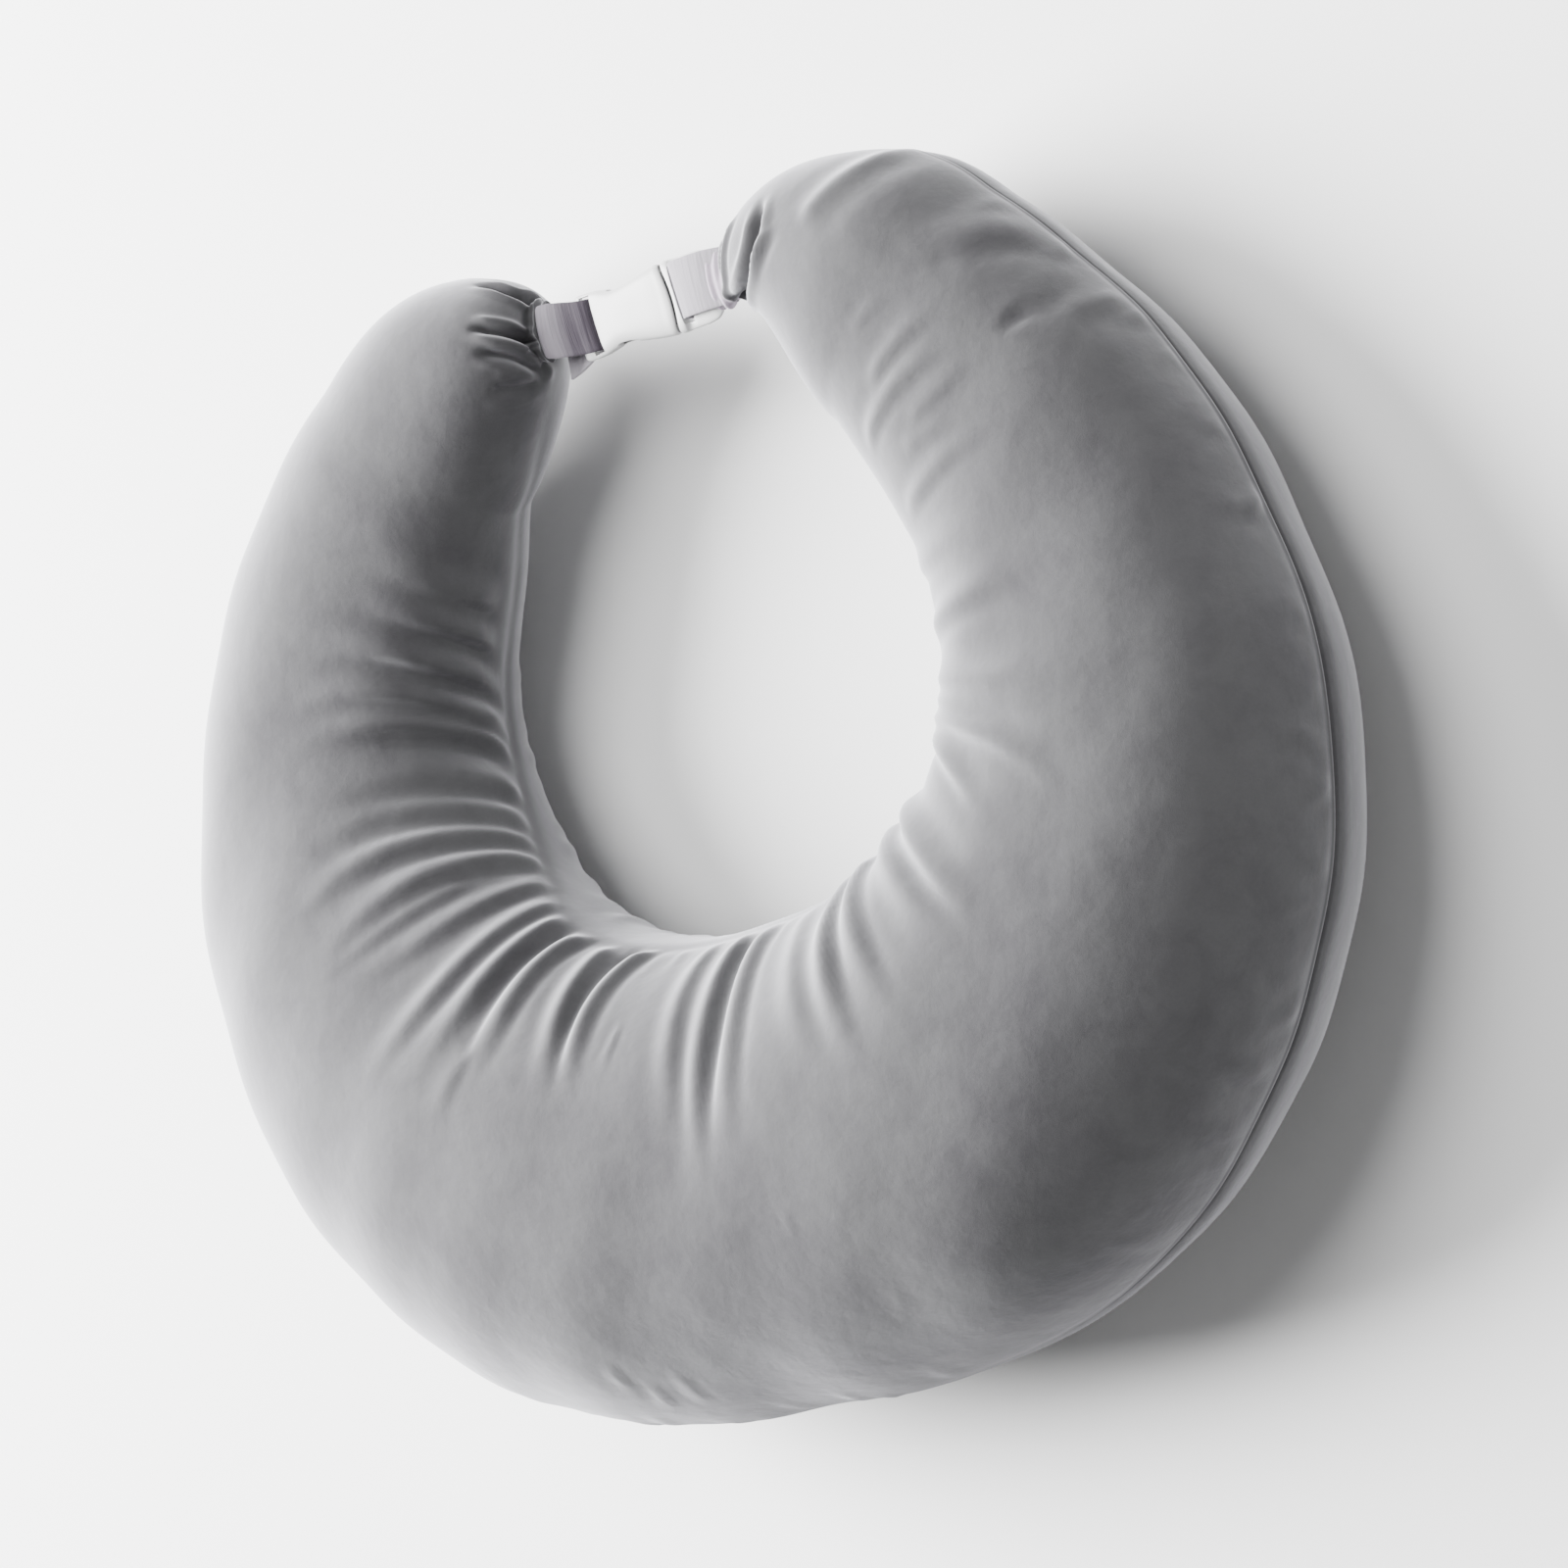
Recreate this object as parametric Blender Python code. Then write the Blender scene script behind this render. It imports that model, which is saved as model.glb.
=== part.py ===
"""U-shaped reading pillow, lying on its back with the strap between its horn ends buckled.

The pillow is one stuffed body, sewn from a front and a back panel along an outer and an inner seam.
The front panel is gathered on the inner seam, which raises folds that fan out over the crown.
Metres, +Z up; the closed end of the U points to -Y and its mouth to +Y. The origin lies on the
surface under the middle of the pillow's outline. Angles are in degrees: an "angle" runs along the U
from the middle of its closed end, negative to the left horn, and a "turn" runs round a section
from the outer seam at 0 over the crown at 90 to the inner side at 180.
"""
import math

import bmesh
import bpy
import numpy as np

# Place of the middle of the hole, measured from the origin
HOLE_X = -0.0014
HOLE_Y = 0.0404

# Sections of the stuffed tube, from the left horn round the closed end to the right horn
# angle, middle radius, half width, half thickness, lift of the underside off the surface
SECTIONS = np.array((
    (-145, 0.175, 0.0430, 0.037, 0.029),
    (-125, 0.178, 0.0560, 0.048, 0.013),
    (-100, 0.191, 0.0680, 0.057, 0.000),
    (-70, 0.192, 0.0840, 0.070, 0.000),
    (-35, 0.187, 0.0950, 0.081, 0.000),
    (0, 0.178, 0.0915, 0.081, 0.000),
    (35, 0.194, 0.0950, 0.082, 0.000),
    (70, 0.201, 0.0825, 0.070, 0.000),
    (100, 0.185, 0.0690, 0.060, 0.000),
    (125, 0.178, 0.0580, 0.050, 0.013),
    (145, 0.184, 0.0460, 0.040, 0.029),
))
SINK = 0.008                 # how far the underside is pressed flat by the pillow's weight

# Horn ends, drawn in to the straps: side, angle where the drawing in starts, distance of the strap's
# root from the hole's middle across and along the mouth, and how bluntly the width, the thickness
# and the middle line close
HORN_ENDS = (
    {"side": -1, "start": 138, "root_x": 0.045, "root_y": 0.157, "width": 1.4, "thick": 0.8, "line": 1.5},
    {"side": 1, "start": 131, "root_x": 0.053, "root_y": 0.154, "width": 2.5, "thick": 1.5, "line": 5.8},
)
NECK_HALF_WIDTH = 0.012
NECK_HALF_THICK = 0.006
END_STEPS = 10
PLEATS = 6                   # pleats round each drawn-in end
PLEAT_DEPTH = 0.0034

# Turn at which the inner seam runs: angle, turn
INNER_SEAM = np.array((
    (-165, 192), (-110, 192), (-90, 187), (-70, 180), (-50, 168), (0, 166),
    (40, 166), (70, 175), (100, 186), (165, 190),
))
SEAM_DEPTH = 0.0025
SEAM_REACH = 4.5             # half width of a seam's groove, as a turn

# Folds of the front panel, gathered on the inner seam
# angle at the seam, half way and at the far end; turn where it ends; half width as an angle; height
FOLDS = (
    (-119, -124.5, -125, 125, 2.6, 0.0014),
    (-112, -118, -119, 130, 2.8, 0.0018),
    (-106, -112, -113, 122, 2.6, 0.0018),
    (-101, -106.5, -106, 100, 2.6, 0.0020),
    (-96, -102.5, -103, 100, 2.6, 0.0018),
    (-87, -94.5, -93, 110, 2.8, 0.0022),
    (-79.5, -88, -89, 105, 2.8, 0.0024),
    (-75, -82.5, -79.5, 97, 2.7, 0.0030),
    (-70, -76.5, -72, 92, 2.7, 0.0030),
    (-64, -67, -61, 105, 2.8, 0.0027),
    (-58, -58.5, -52, 92, 2.7, 0.0028),
    (-53, -51.5, -42, 102, 2.6, 0.0028),
    (-45, -44, -40.5, 112, 2.8, 0.0028),
    (-37, -34.5, -28, 110, 2.9, 0.0030),
    (-25, -25, -22, 112, 2.8, 0.0026),
    (-1, -1, -3, 98, 2.9, 0.0022),
    (9, 6.5, 2.5, 86, 2.8, 0.0028),
    (19, 15.5, 10, 97, 3.0, 0.0028),
    (40, 36, 31, 100, 2.8, 0.0018),
    (46, 41, 37, 100, 2.8, 0.0020),
    (56, 53, 51, 103, 2.6, 0.0016),
    (61, 58, 54, 100, 2.6, 0.0018),
    (76, 73, 69, 90, 3.0, 0.0016),
)

FOLD_RISE = 0.15             # share of a fold over which it rises from the seam
FOLD_FADE = 0.60             # and the share where it starts to fade

# Net of the pillow's surface
SMOOTH_STEP = 4.5            # angle between sections where the cloth is plain
FOLD_STEP = 1.8              # and where it is folded
FOLDED_FROM, FOLDED_TO = -128, 64
TURN_STEPS = 13              # steps over the crown, and again under it
SEAM_SIDE = 6                # turn from a seam to the points beside it

# Strap: webbing folded round a bar of the buckle
BUCKLE_Y = 0.1530            # middle of the buckle, from the hole's middle
STRAP_Y = 0.1540             # middle of each strap where it goes round its bar
STRAP_Z = 0.062
STRAP_WIDTH = 0.020
STRAP_THICK = 0.0015
LAYER_GAP = 0.0003           # between the two layers where they meet the pillow
LOOP_RADIUS = 0.0032         # of the webbing's middle line round a bar
LOOP_OPEN = 0.6              # share of the strap, from its root, over which the layers part
SEAT = 0.0003                # gap between pieces that touch

# Buckle: half width and half thickness along its length, from the left bar to the right one
BAR_HALF_THICK = 0.0015
SOCKET = (
    (-0.0252, 0.0108, 0.0007),
    (-0.0246, 0.0120, 0.0012),
    (-0.0235, 0.0127, BAR_HALF_THICK),
    (-0.0200, 0.0128, BAR_HALF_THICK),
    (-0.0145, 0.0126, 0.0028),
    (-0.0040, 0.0110, 0.0040),
    (0.0080, 0.0125, 0.0043),
    (0.0185, 0.0140, 0.0041),
    (0.0210, 0.0141, 0.0039),
    (0.0218, 0.0138, 0.0035),
)
PLUG = (
    (0.0222, 0.0140, 0.0035),
    (0.0228, 0.0143, 0.0038),
    (0.0260, 0.0144, 0.0036),
    (0.0290, 0.0143, BAR_HALF_THICK),
    (0.0380, 0.0141, BAR_HALF_THICK),
    (0.0425, 0.0132, BAR_HALF_THICK),
    (0.0450, 0.0112, 0.0009),
)
SLOT_HALF_WIDTH = STRAP_WIDTH / 2 + 0.0016
SOCKET_SLOT = (-0.0205, -0.0150)
PLUG_SLOT = (0.0262, 0.0305)
CAVITY = (-0.0060, 0.0230)   # where the socket is hollow, along its length
CAVITY_HALF_WIDTH = 0.0106
CAVITY_HALF_THICK = 0.0023
WINDOW = (-0.0070, 0.0040)   # open sides, where the prongs are pressed
RUNNING_GAP = 0.0004         # round the prongs
GUIDE_HALF_WIDTH = 0.0022
PRONG_INNER = 0.0070
PRONG_TIP = -0.0050
GUIDE_TIP = 0.0
PRONG_ROOT = 0.0250          # where the prongs and the guide join the plug
CUT_REACH = 0.0200           # half depth of a cut that goes right through
ROUND_POINTS = 20            # points round a section of the buckle
ROUNDNESS = 3.2              # power of its superellipse


def material(name, colour, roughness):
    """A plain surface of one colour."""
    made = bpy.data.materials.new(name)
    made.use_nodes = True
    shader = made.node_tree.nodes["Principled BSDF"]
    shader.inputs["Base Color"].default_value = (*colour, 1.0)
    shader.inputs["Roughness"].default_value = roughness
    shader.inputs["Metallic"].default_value = 0.0
    return made


def finish(bm, name, surface, crease=40):
    """Turns a mesh that is worked on into a smooth-shaded object, sharp past the crease angle."""
    bmesh.ops.recalc_face_normals(bm, faces=bm.faces)
    mesh = bpy.data.meshes.new(name)
    bm.to_mesh(mesh)
    bm.free()
    mesh.shade_smooth()
    mesh.set_sharp_from_angle(angle=math.radians(crease))
    mesh.materials.append(surface)
    made = bpy.data.objects.new(name, mesh)
    bpy.context.collection.objects.link(made)
    return made


def read_row(table, angle):
    """The columns of a table at an angle, on a smooth curve through its rows."""
    angles, rows = table[:, 0], table[:, 1:]
    slopes = np.gradient(rows, angles, axis=0)
    i = int(np.clip(np.searchsorted(angles, angle) - 1, 0, len(angles) - 2))
    step = angles[i + 1] - angles[i]
    u = (angle - angles[i]) / step
    return ((1 + 2 * u) * (1 - u) ** 2 * rows[i] + u * (1 - u) ** 2 * step * slopes[i]
            + u * u * (3 - 2 * u) * rows[i + 1] + u * u * (u - 1) * step * slopes[i + 1])


def ease(low, high, value):
    """Rises smoothly from 0 at low to 1 at high."""
    u = min(max((value - low) / (high - low), 0.0), 1.0)
    return u * u * (3 - 2 * u)


def section(angle):
    """A plain section: its angle, middle radius, half sizes, middle height and the way it faces."""
    radius, width, thick, lift = read_row(SECTIONS, angle)
    return {"angle": angle, "radius": radius, "width": width, "thick": thick,
            "height": thick - SINK + lift, "face": angle, "closed": 0.0}


def end_section(end, closed):
    """A section of a horn end, from plain at closed = 0 to the neck round the strap at 1."""
    plain = section(end["side"] * end["start"])
    root_angle = end["side"] * (180 - math.degrees(math.atan2(end["root_x"], end["root_y"])))
    root_radius = math.hypot(end["root_x"], end["root_y"])
    along = math.sin(closed * math.pi / 2)
    left = max(math.cos(closed * math.pi / 2), 0.0)
    led = along ** end["line"]
    angle = plain["angle"] + (root_angle - plain["angle"]) * along
    return {
        "angle": angle,
        "radius": plain["radius"] + (root_radius - plain["radius"]) * led,
        "width": NECK_HALF_WIDTH + (plain["width"] - NECK_HALF_WIDTH) * left ** end["width"],
        "thick": NECK_HALF_THICK + (plain["thick"] - NECK_HALF_THICK) * left ** end["thick"],
        "height": plain["height"] + (STRAP_Z - plain["height"]) * along ** 2,
        "face": angle + (end["side"] * 180 - angle) * led,
        "closed": closed,
    }


def stations():
    """All sections in order, closer together where the cloth is folded."""
    left, right = HORN_ENDS
    made = [end_section(left, step / END_STEPS) for step in range(END_STEPS, 0, -1)]
    stretches = (
        (-left["start"], FOLDED_FROM, SMOOTH_STEP),
        (FOLDED_FROM, FOLDED_TO, FOLD_STEP),
        (FOLDED_TO, right["start"], SMOOTH_STEP),
    )
    for first, last, step in stretches:
        count = round((last - first) / step)
        made += [section(first + (last - first) * i / count) for i in range(count)]
    made.append(section(right["start"]))
    made += [end_section(right, step / END_STEPS) for step in range(1, END_STEPS + 1)]
    return made


def turns(seam):
    """Turns of the points round a section whose inner seam is at the given turn."""
    over = np.r_[0, np.linspace(SEAM_SIDE, seam - SEAM_SIDE, TURN_STEPS), seam]
    under = np.linspace(seam + SEAM_SIDE, 360 - SEAM_SIDE, TURN_STEPS)
    return np.r_[over, under]


def fold_height(angle, turn, seam):
    """How far the folds stand out from the plain section here, in metres."""
    height = 0.0
    for at_seam, half_way, at_end, reach, width, high in FOLDS:
        run = (seam - turn) / (seam - reach)
        if not 0 < run < 1:
            continue
        middle = 2 * half_way - (at_seam + at_end) / 2
        line = (1 - run) ** 2 * at_seam + 2 * run * (1 - run) * middle + run ** 2 * at_end
        across = (angle - line) / width
        swell = ease(0, FOLD_RISE, run) * (1 - ease(FOLD_FADE, 1, run))
        height += high * swell * (1 - across ** 2) * math.exp(-across ** 2 / 2)
    return height


def surface_point(part, turn, seam):
    """A point of the pillow's surface, on the given section."""
    rad = math.radians(turn)
    raised = fold_height(part["angle"], turn, seam)
    for line in (0, seam, 360):
        raised -= SEAM_DEPTH * math.exp(-((turn - line) / SEAM_REACH) ** 2) * (1 - part["closed"])
    drawn = math.sin(part["closed"] ** 1.5 * math.pi)
    raised -= PLEAT_DEPTH * drawn * math.cos(PLEATS * rad)
    across = (part["width"] + raised) * math.cos(rad)
    height = part["height"] + (part["thick"] + raised) * math.sin(rad)
    angle, face = math.radians(part["angle"]), math.radians(part["face"])
    return (
        HOLE_X + part["radius"] * math.sin(angle) + across * math.sin(face),
        HOLE_Y - part["radius"] * math.cos(angle) - across * math.cos(face),
        max(height, 0.0),
    )


def pillow(surface):
    """The stuffed U: a ring spun into a tube, then set out section by section."""
    parts = stations()
    count = 2 * TURN_STEPS + 2
    bm = bmesh.new()
    ring = bmesh.ops.create_circle(bm, segments=count, radius=0.5)["verts"]
    for index, vert in enumerate(ring):
        rad = 2 * math.pi * index / count
        vert.co = (1 + 0.5 * math.cos(rad), 0, 0.5 * math.sin(rad))
    sweep = math.radians(300)
    edges = list(bm.edges)
    bmesh.ops.spin(bm, geom=ring + edges, cent=(0, 0, 0), axis=(0, 0, 1), angle=sweep,
                   steps=len(parts) - 1, use_merge=False, use_duplicate=False)
    seams = [float(read_row(INNER_SEAM, part["angle"])[0]) for part in parts]
    lists = [turns(seam) for seam in seams]
    for vert in bm.verts:
        spun = math.atan2(vert.co.y, vert.co.x) % (2 * math.pi)
        station = round(spun / sweep * (len(parts) - 1)) if spun < sweep + 0.1 else 0
        rad = math.atan2(vert.co.z, math.hypot(vert.co.x, vert.co.y) - 1) % (2 * math.pi)
        index = round(rad / (2 * math.pi) * count) % count
        vert.co = surface_point(parts[station], lists[station][index], seams[station])
    bmesh.ops.holes_fill(bm, edges=[edge for edge in bm.edges if edge.is_boundary], sides=0)
    return finish(bm, "pillow", surface, crease=120)


def strap(name, surface, end, bar):
    """Webbing from a horn end, round the bar whose far side is at bar, and back to the horn."""
    root = end["side"] * end["root_x"]
    way = -end["side"]
    start = root + way * SEAT
    low = (STRAP_THICK + LAYER_GAP) / 2
    turn = bar - way * BAR_HALF_THICK
    top = [(start + (turn - start) * u, low + (LOOP_RADIUS - low) * ease(0, LOOP_OPEN, u))
           for u in np.linspace(0, 1, 7)]
    arc = [(turn + way * LOOP_RADIUS * math.sin(rad), LOOP_RADIUS * math.cos(rad))
           for rad in np.linspace(0, math.pi, 9)[1:-1]]
    path = top + arc + [(x, -z) for x, z in reversed(top)]
    bm = bmesh.new()
    edge_y = HOLE_Y - STRAP_WIDTH / 2
    verts = []
    for x, z in path:
        led = min(max((x - turn) / (root - turn), 0.0), 1.0)
        y = edge_y + STRAP_Y + (end["root_y"] - STRAP_Y) * led
        verts.append(bm.verts.new((HOLE_X + x, y, STRAP_Z + z)))
    line = [bm.edges.new(pair) for pair in zip(verts, verts[1:])]
    wide = bmesh.ops.extrude_edge_only(bm, edges=line)["geom"]
    moved = [item for item in wide if isinstance(item, bmesh.types.BMVert)]
    bmesh.ops.translate(bm, verts=moved, vec=(0, STRAP_WIDTH, 0))
    made = finish(bm, name, surface)
    thick = made.modifiers.new("thickness", "SOLIDIFY")
    thick.thickness = STRAP_THICK
    thick.offset = 0
    thick.use_even_offset = True
    return made


def loft(name, surface, rows):
    """A body along x whose sections are superellipses: x, half width, half thickness."""
    bm = bmesh.new()
    loops = []
    for x, width, thick in rows:
        ring = bmesh.ops.create_circle(bm, segments=ROUND_POINTS, radius=1)["verts"]
        for index, vert in enumerate(ring):
            rad = 2 * math.pi * index / ROUND_POINTS
            c, s = math.cos(rad), math.sin(rad)
            vert.co = (
                HOLE_X + x,
                HOLE_Y + BUCKLE_Y + width * math.copysign(abs(c) ** (2 / ROUNDNESS), c),
                STRAP_Z + thick * math.copysign(abs(s) ** (2 / ROUNDNESS), s),
            )
        loops.append({edge for vert in ring for edge in vert.link_edges})
    for first, second in zip(loops, loops[1:]):
        bmesh.ops.bridge_loops(bm, edges=list(first | second))
    bmesh.ops.holes_fill(bm, edges=[edge for edge in bm.edges if edge.is_boundary], sides=0)
    return finish(bm, name, surface)


def block(name, x, y, half_thick):
    """A guide block for the buckle; x and y are its ranges, from the buckle's middle line."""
    bm = bmesh.new()
    bmesh.ops.create_cube(bm, size=1)
    bmesh.ops.scale(bm, vec=(x[1] - x[0], y[1] - y[0], 2 * half_thick), verts=bm.verts)
    middle = (HOLE_X + sum(x) / 2, HOLE_Y + BUCKLE_Y + sum(y) / 2, STRAP_Z)
    bmesh.ops.translate(bm, vec=middle, verts=bm.verts)
    made = finish(bm, name, None)
    made.hide_render = True
    made.display_type = "WIRE"
    return made


def combine(target, tool, operation):
    """Cuts the tool from the target, or joins it on."""
    step = target.modifiers.new(tool.name, "BOOLEAN")
    step.operation = operation
    step.solver = "EXACT"
    step.object = tool


def buckle_socket(surface):
    """The left half of the buckle: a frame with the strap's bar, and a hollow for the prongs."""
    made = loft("buckle_socket", surface, SOCKET)
    cuts = (
        block("socket_slot", SOCKET_SLOT, (-SLOT_HALF_WIDTH, SLOT_HALF_WIDTH), CUT_REACH),
        block("socket_cavity", CAVITY, (-CAVITY_HALF_WIDTH, CAVITY_HALF_WIDTH), CAVITY_HALF_THICK),
        block("socket_window", WINDOW, (-CUT_REACH, CUT_REACH), CAVITY_HALF_THICK),
    )
    for cut in cuts:
        combine(made, cut, "DIFFERENCE")
    return made


def buckle_plug(surface):
    """The right half: a frame with a bar plate for the strap, a guide and two prongs."""
    made = loft("buckle_plug", surface, PLUG)
    slot = block("plug_slot", PLUG_SLOT, (-SLOT_HALF_WIDTH, SLOT_HALF_WIDTH), CUT_REACH)
    combine(made, slot, "DIFFERENCE")
    thick = CAVITY_HALF_THICK - RUNNING_GAP
    outer = CAVITY_HALF_WIDTH - RUNNING_GAP
    prongs = (
        ("plug_guide", (GUIDE_TIP, PRONG_ROOT), (-GUIDE_HALF_WIDTH, GUIDE_HALF_WIDTH)),
        ("plug_prong_front", (PRONG_TIP, PRONG_ROOT), (-outer, -PRONG_INNER)),
        ("plug_prong_back", (PRONG_TIP, PRONG_ROOT), (PRONG_INNER, outer)),
    )
    for name, x, y in prongs:
        combine(made, block(name, x, y, thick), "UNION")
    return made


def main():
    for old in list(bpy.data.objects):
        bpy.data.objects.remove(old)
    velvet = material("grey velvet", (0.33, 0.33, 0.34), 0.9)
    webbing = material("lilac grey webbing", (0.48, 0.46, 0.49), 0.8)
    plastic = material("white plastic", (0.87, 0.87, 0.87), 0.35)
    left, right = HORN_ENDS
    pieces = (
        pillow(velvet),
        strap("strap_left", webbing, left, SOCKET_SLOT[0]),
        strap("strap_right", webbing, right, PLUG_SLOT[1]),
        buckle_socket(plastic),
        buckle_plug(plastic),
    )
    origin = bpy.data.objects.new("pillow_origin", None)
    bpy.context.collection.objects.link(origin)
    for piece in pieces:
        piece.parent = origin


main()
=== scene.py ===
import math

import bmesh
import bpy
import numpy as np
from bpy.props import FloatProperty, FloatVectorProperty, IntProperty, PointerProperty
from mathutils import Matrix, Vector


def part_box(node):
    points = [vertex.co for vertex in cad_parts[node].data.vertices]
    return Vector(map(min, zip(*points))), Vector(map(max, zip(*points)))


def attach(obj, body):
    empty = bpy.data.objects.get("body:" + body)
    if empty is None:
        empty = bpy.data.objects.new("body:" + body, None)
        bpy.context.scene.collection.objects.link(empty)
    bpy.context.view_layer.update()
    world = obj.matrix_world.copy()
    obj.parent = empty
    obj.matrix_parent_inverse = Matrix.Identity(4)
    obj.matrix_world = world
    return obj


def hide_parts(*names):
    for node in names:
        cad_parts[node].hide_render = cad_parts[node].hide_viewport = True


bl_info = {
    "name": "U-shaped reading pillow",
    "version": (1, 0, 0),
    "blender": (4, 5, 0),
    "location": "View3D > Sidebar > Pillow",
    "description": "Velvet cover, webbing straps and buckle of a u-shaped reading pillow",
    "category": "Object",
}

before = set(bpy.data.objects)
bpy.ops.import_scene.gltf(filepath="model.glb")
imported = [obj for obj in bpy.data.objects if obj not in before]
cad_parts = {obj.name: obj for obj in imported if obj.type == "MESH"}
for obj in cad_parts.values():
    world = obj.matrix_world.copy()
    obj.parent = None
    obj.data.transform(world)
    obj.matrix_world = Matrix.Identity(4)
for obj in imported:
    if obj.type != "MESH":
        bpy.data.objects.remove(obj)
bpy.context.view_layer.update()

# Middle of the hole, found from the buckle: the socket starts 25.2 mm to its left, and the buckle's
# middle line lies 153 mm from it towards the mouth of the U
SOCKET_LOW, SOCKET_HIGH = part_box("buckle_socket")
BUCKLE_Y = 0.1530
HOLE_X = SOCKET_LOW[0] + 0.0252
HOLE_Y = (SOCKET_LOW[1] + SOCKET_HIGH[1]) / 2 - BUCKLE_Y
STRAP_Z = (SOCKET_LOW[2] + SOCKET_HIGH[2]) / 2

# An "angle" runs along the U from the middle of its closed end, negative to the left horn, and a
# "turn" runs round a section from the outer seam at 0 over the crown at 90 to the inner side at 180.
# Sections of the stuffed tube: angle, middle radius, half width, half thickness, lift of the underside
SECTIONS = np.array((
    (-145, 0.175, 0.0430, 0.037, 0.029),
    (-125, 0.178, 0.0560, 0.048, 0.013),
    (-100, 0.191, 0.0680, 0.057, 0.000),
    (-70, 0.192, 0.0840, 0.070, 0.000),
    (-35, 0.187, 0.0950, 0.081, 0.000),
    (0, 0.178, 0.0915, 0.081, 0.000),
    (35, 0.194, 0.0950, 0.082, 0.000),
    (70, 0.201, 0.0825, 0.070, 0.000),
    (100, 0.185, 0.0690, 0.060, 0.000),
    (125, 0.178, 0.0580, 0.050, 0.013),
    (145, 0.184, 0.0460, 0.040, 0.029),
))
FULLNESS = 0.35              # how much fuller than an ellipse the right arm's outer shoulder is
FULL_BETWEEN = (5, 35, 100, 134)     # angles where that starts, is full, fades and ends
SINK = 0.008
REST_SOFTNESS = 0.0030       # how gently the underside rounds into the flat where it rests
FOLD_REST_SOFTNESS = 0.0006  # the same once the folds are raised

# Horn ends: side, angle where the drawing in starts, root of the strap from the hole's middle, how
# bluntly width, thickness and middle line close, how far the gathered neck goes on to the buckle, and
# the sections of the net over it
HORN_ENDS = {
    "left": {"side": -1, "start": 138, "root_x": 0.045, "root_y": 0.157, "width": 1.4,
             "thick": 0.8, "line": 1.5, "neck": 0.0100, "steps": 28},
    "right": {"side": 1, "start": 131, "root_x": 0.053, "root_y": 0.154, "width": 2.5,
              "thick": 1.5, "line": 5.8, "neck": 0.0125, "steps": 46},
}
NECK_HALF_WIDTH = 0.012
NECK_HALF_THICK = 0.006
NECK_STEPS = 9
NECK_RIBS = 3                # gathers that run round the neck
NECK_RIB_HEIGHT = 0.0005
NECK_GROOVE = 0.0018         # how far the cloth is drawn in where the pale sleeve starts
NECK_GROOVE_WIDTH = 0.07
NECK_TAPER = (0.08, 0.22)    # how much narrower and thinner the neck gets along its way
TUCK_FROM = 0.8              # share of it from which its end tucks in
TUCK = (0.20, 0.35)          # how much narrower and thinner that makes it
TUCK_BACK = 0.25

# The net: degrees along it between two sections of the plain left arm and of the gathered rest, the
# angle where that starts, and the turns of the rows beside a seam and of the first of the even ones
NET_COARSE = 2.2
NET_FINE = 1.3
GATHERED_FROM = -129
SEAM_ROWS = np.array((1.0, 2.2, 4.0))
EVEN_ROWS_FROM = 7

# Turn at which the inner seam runs: angle, turn
INNER_SEAM = np.array((
    (-165, 192), (-110, 192), (-90, 187), (-70, 180), (-50, 168), (0, 166),
    (40, 166), (70, 175), (100, 186), (165, 190),
))

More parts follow.
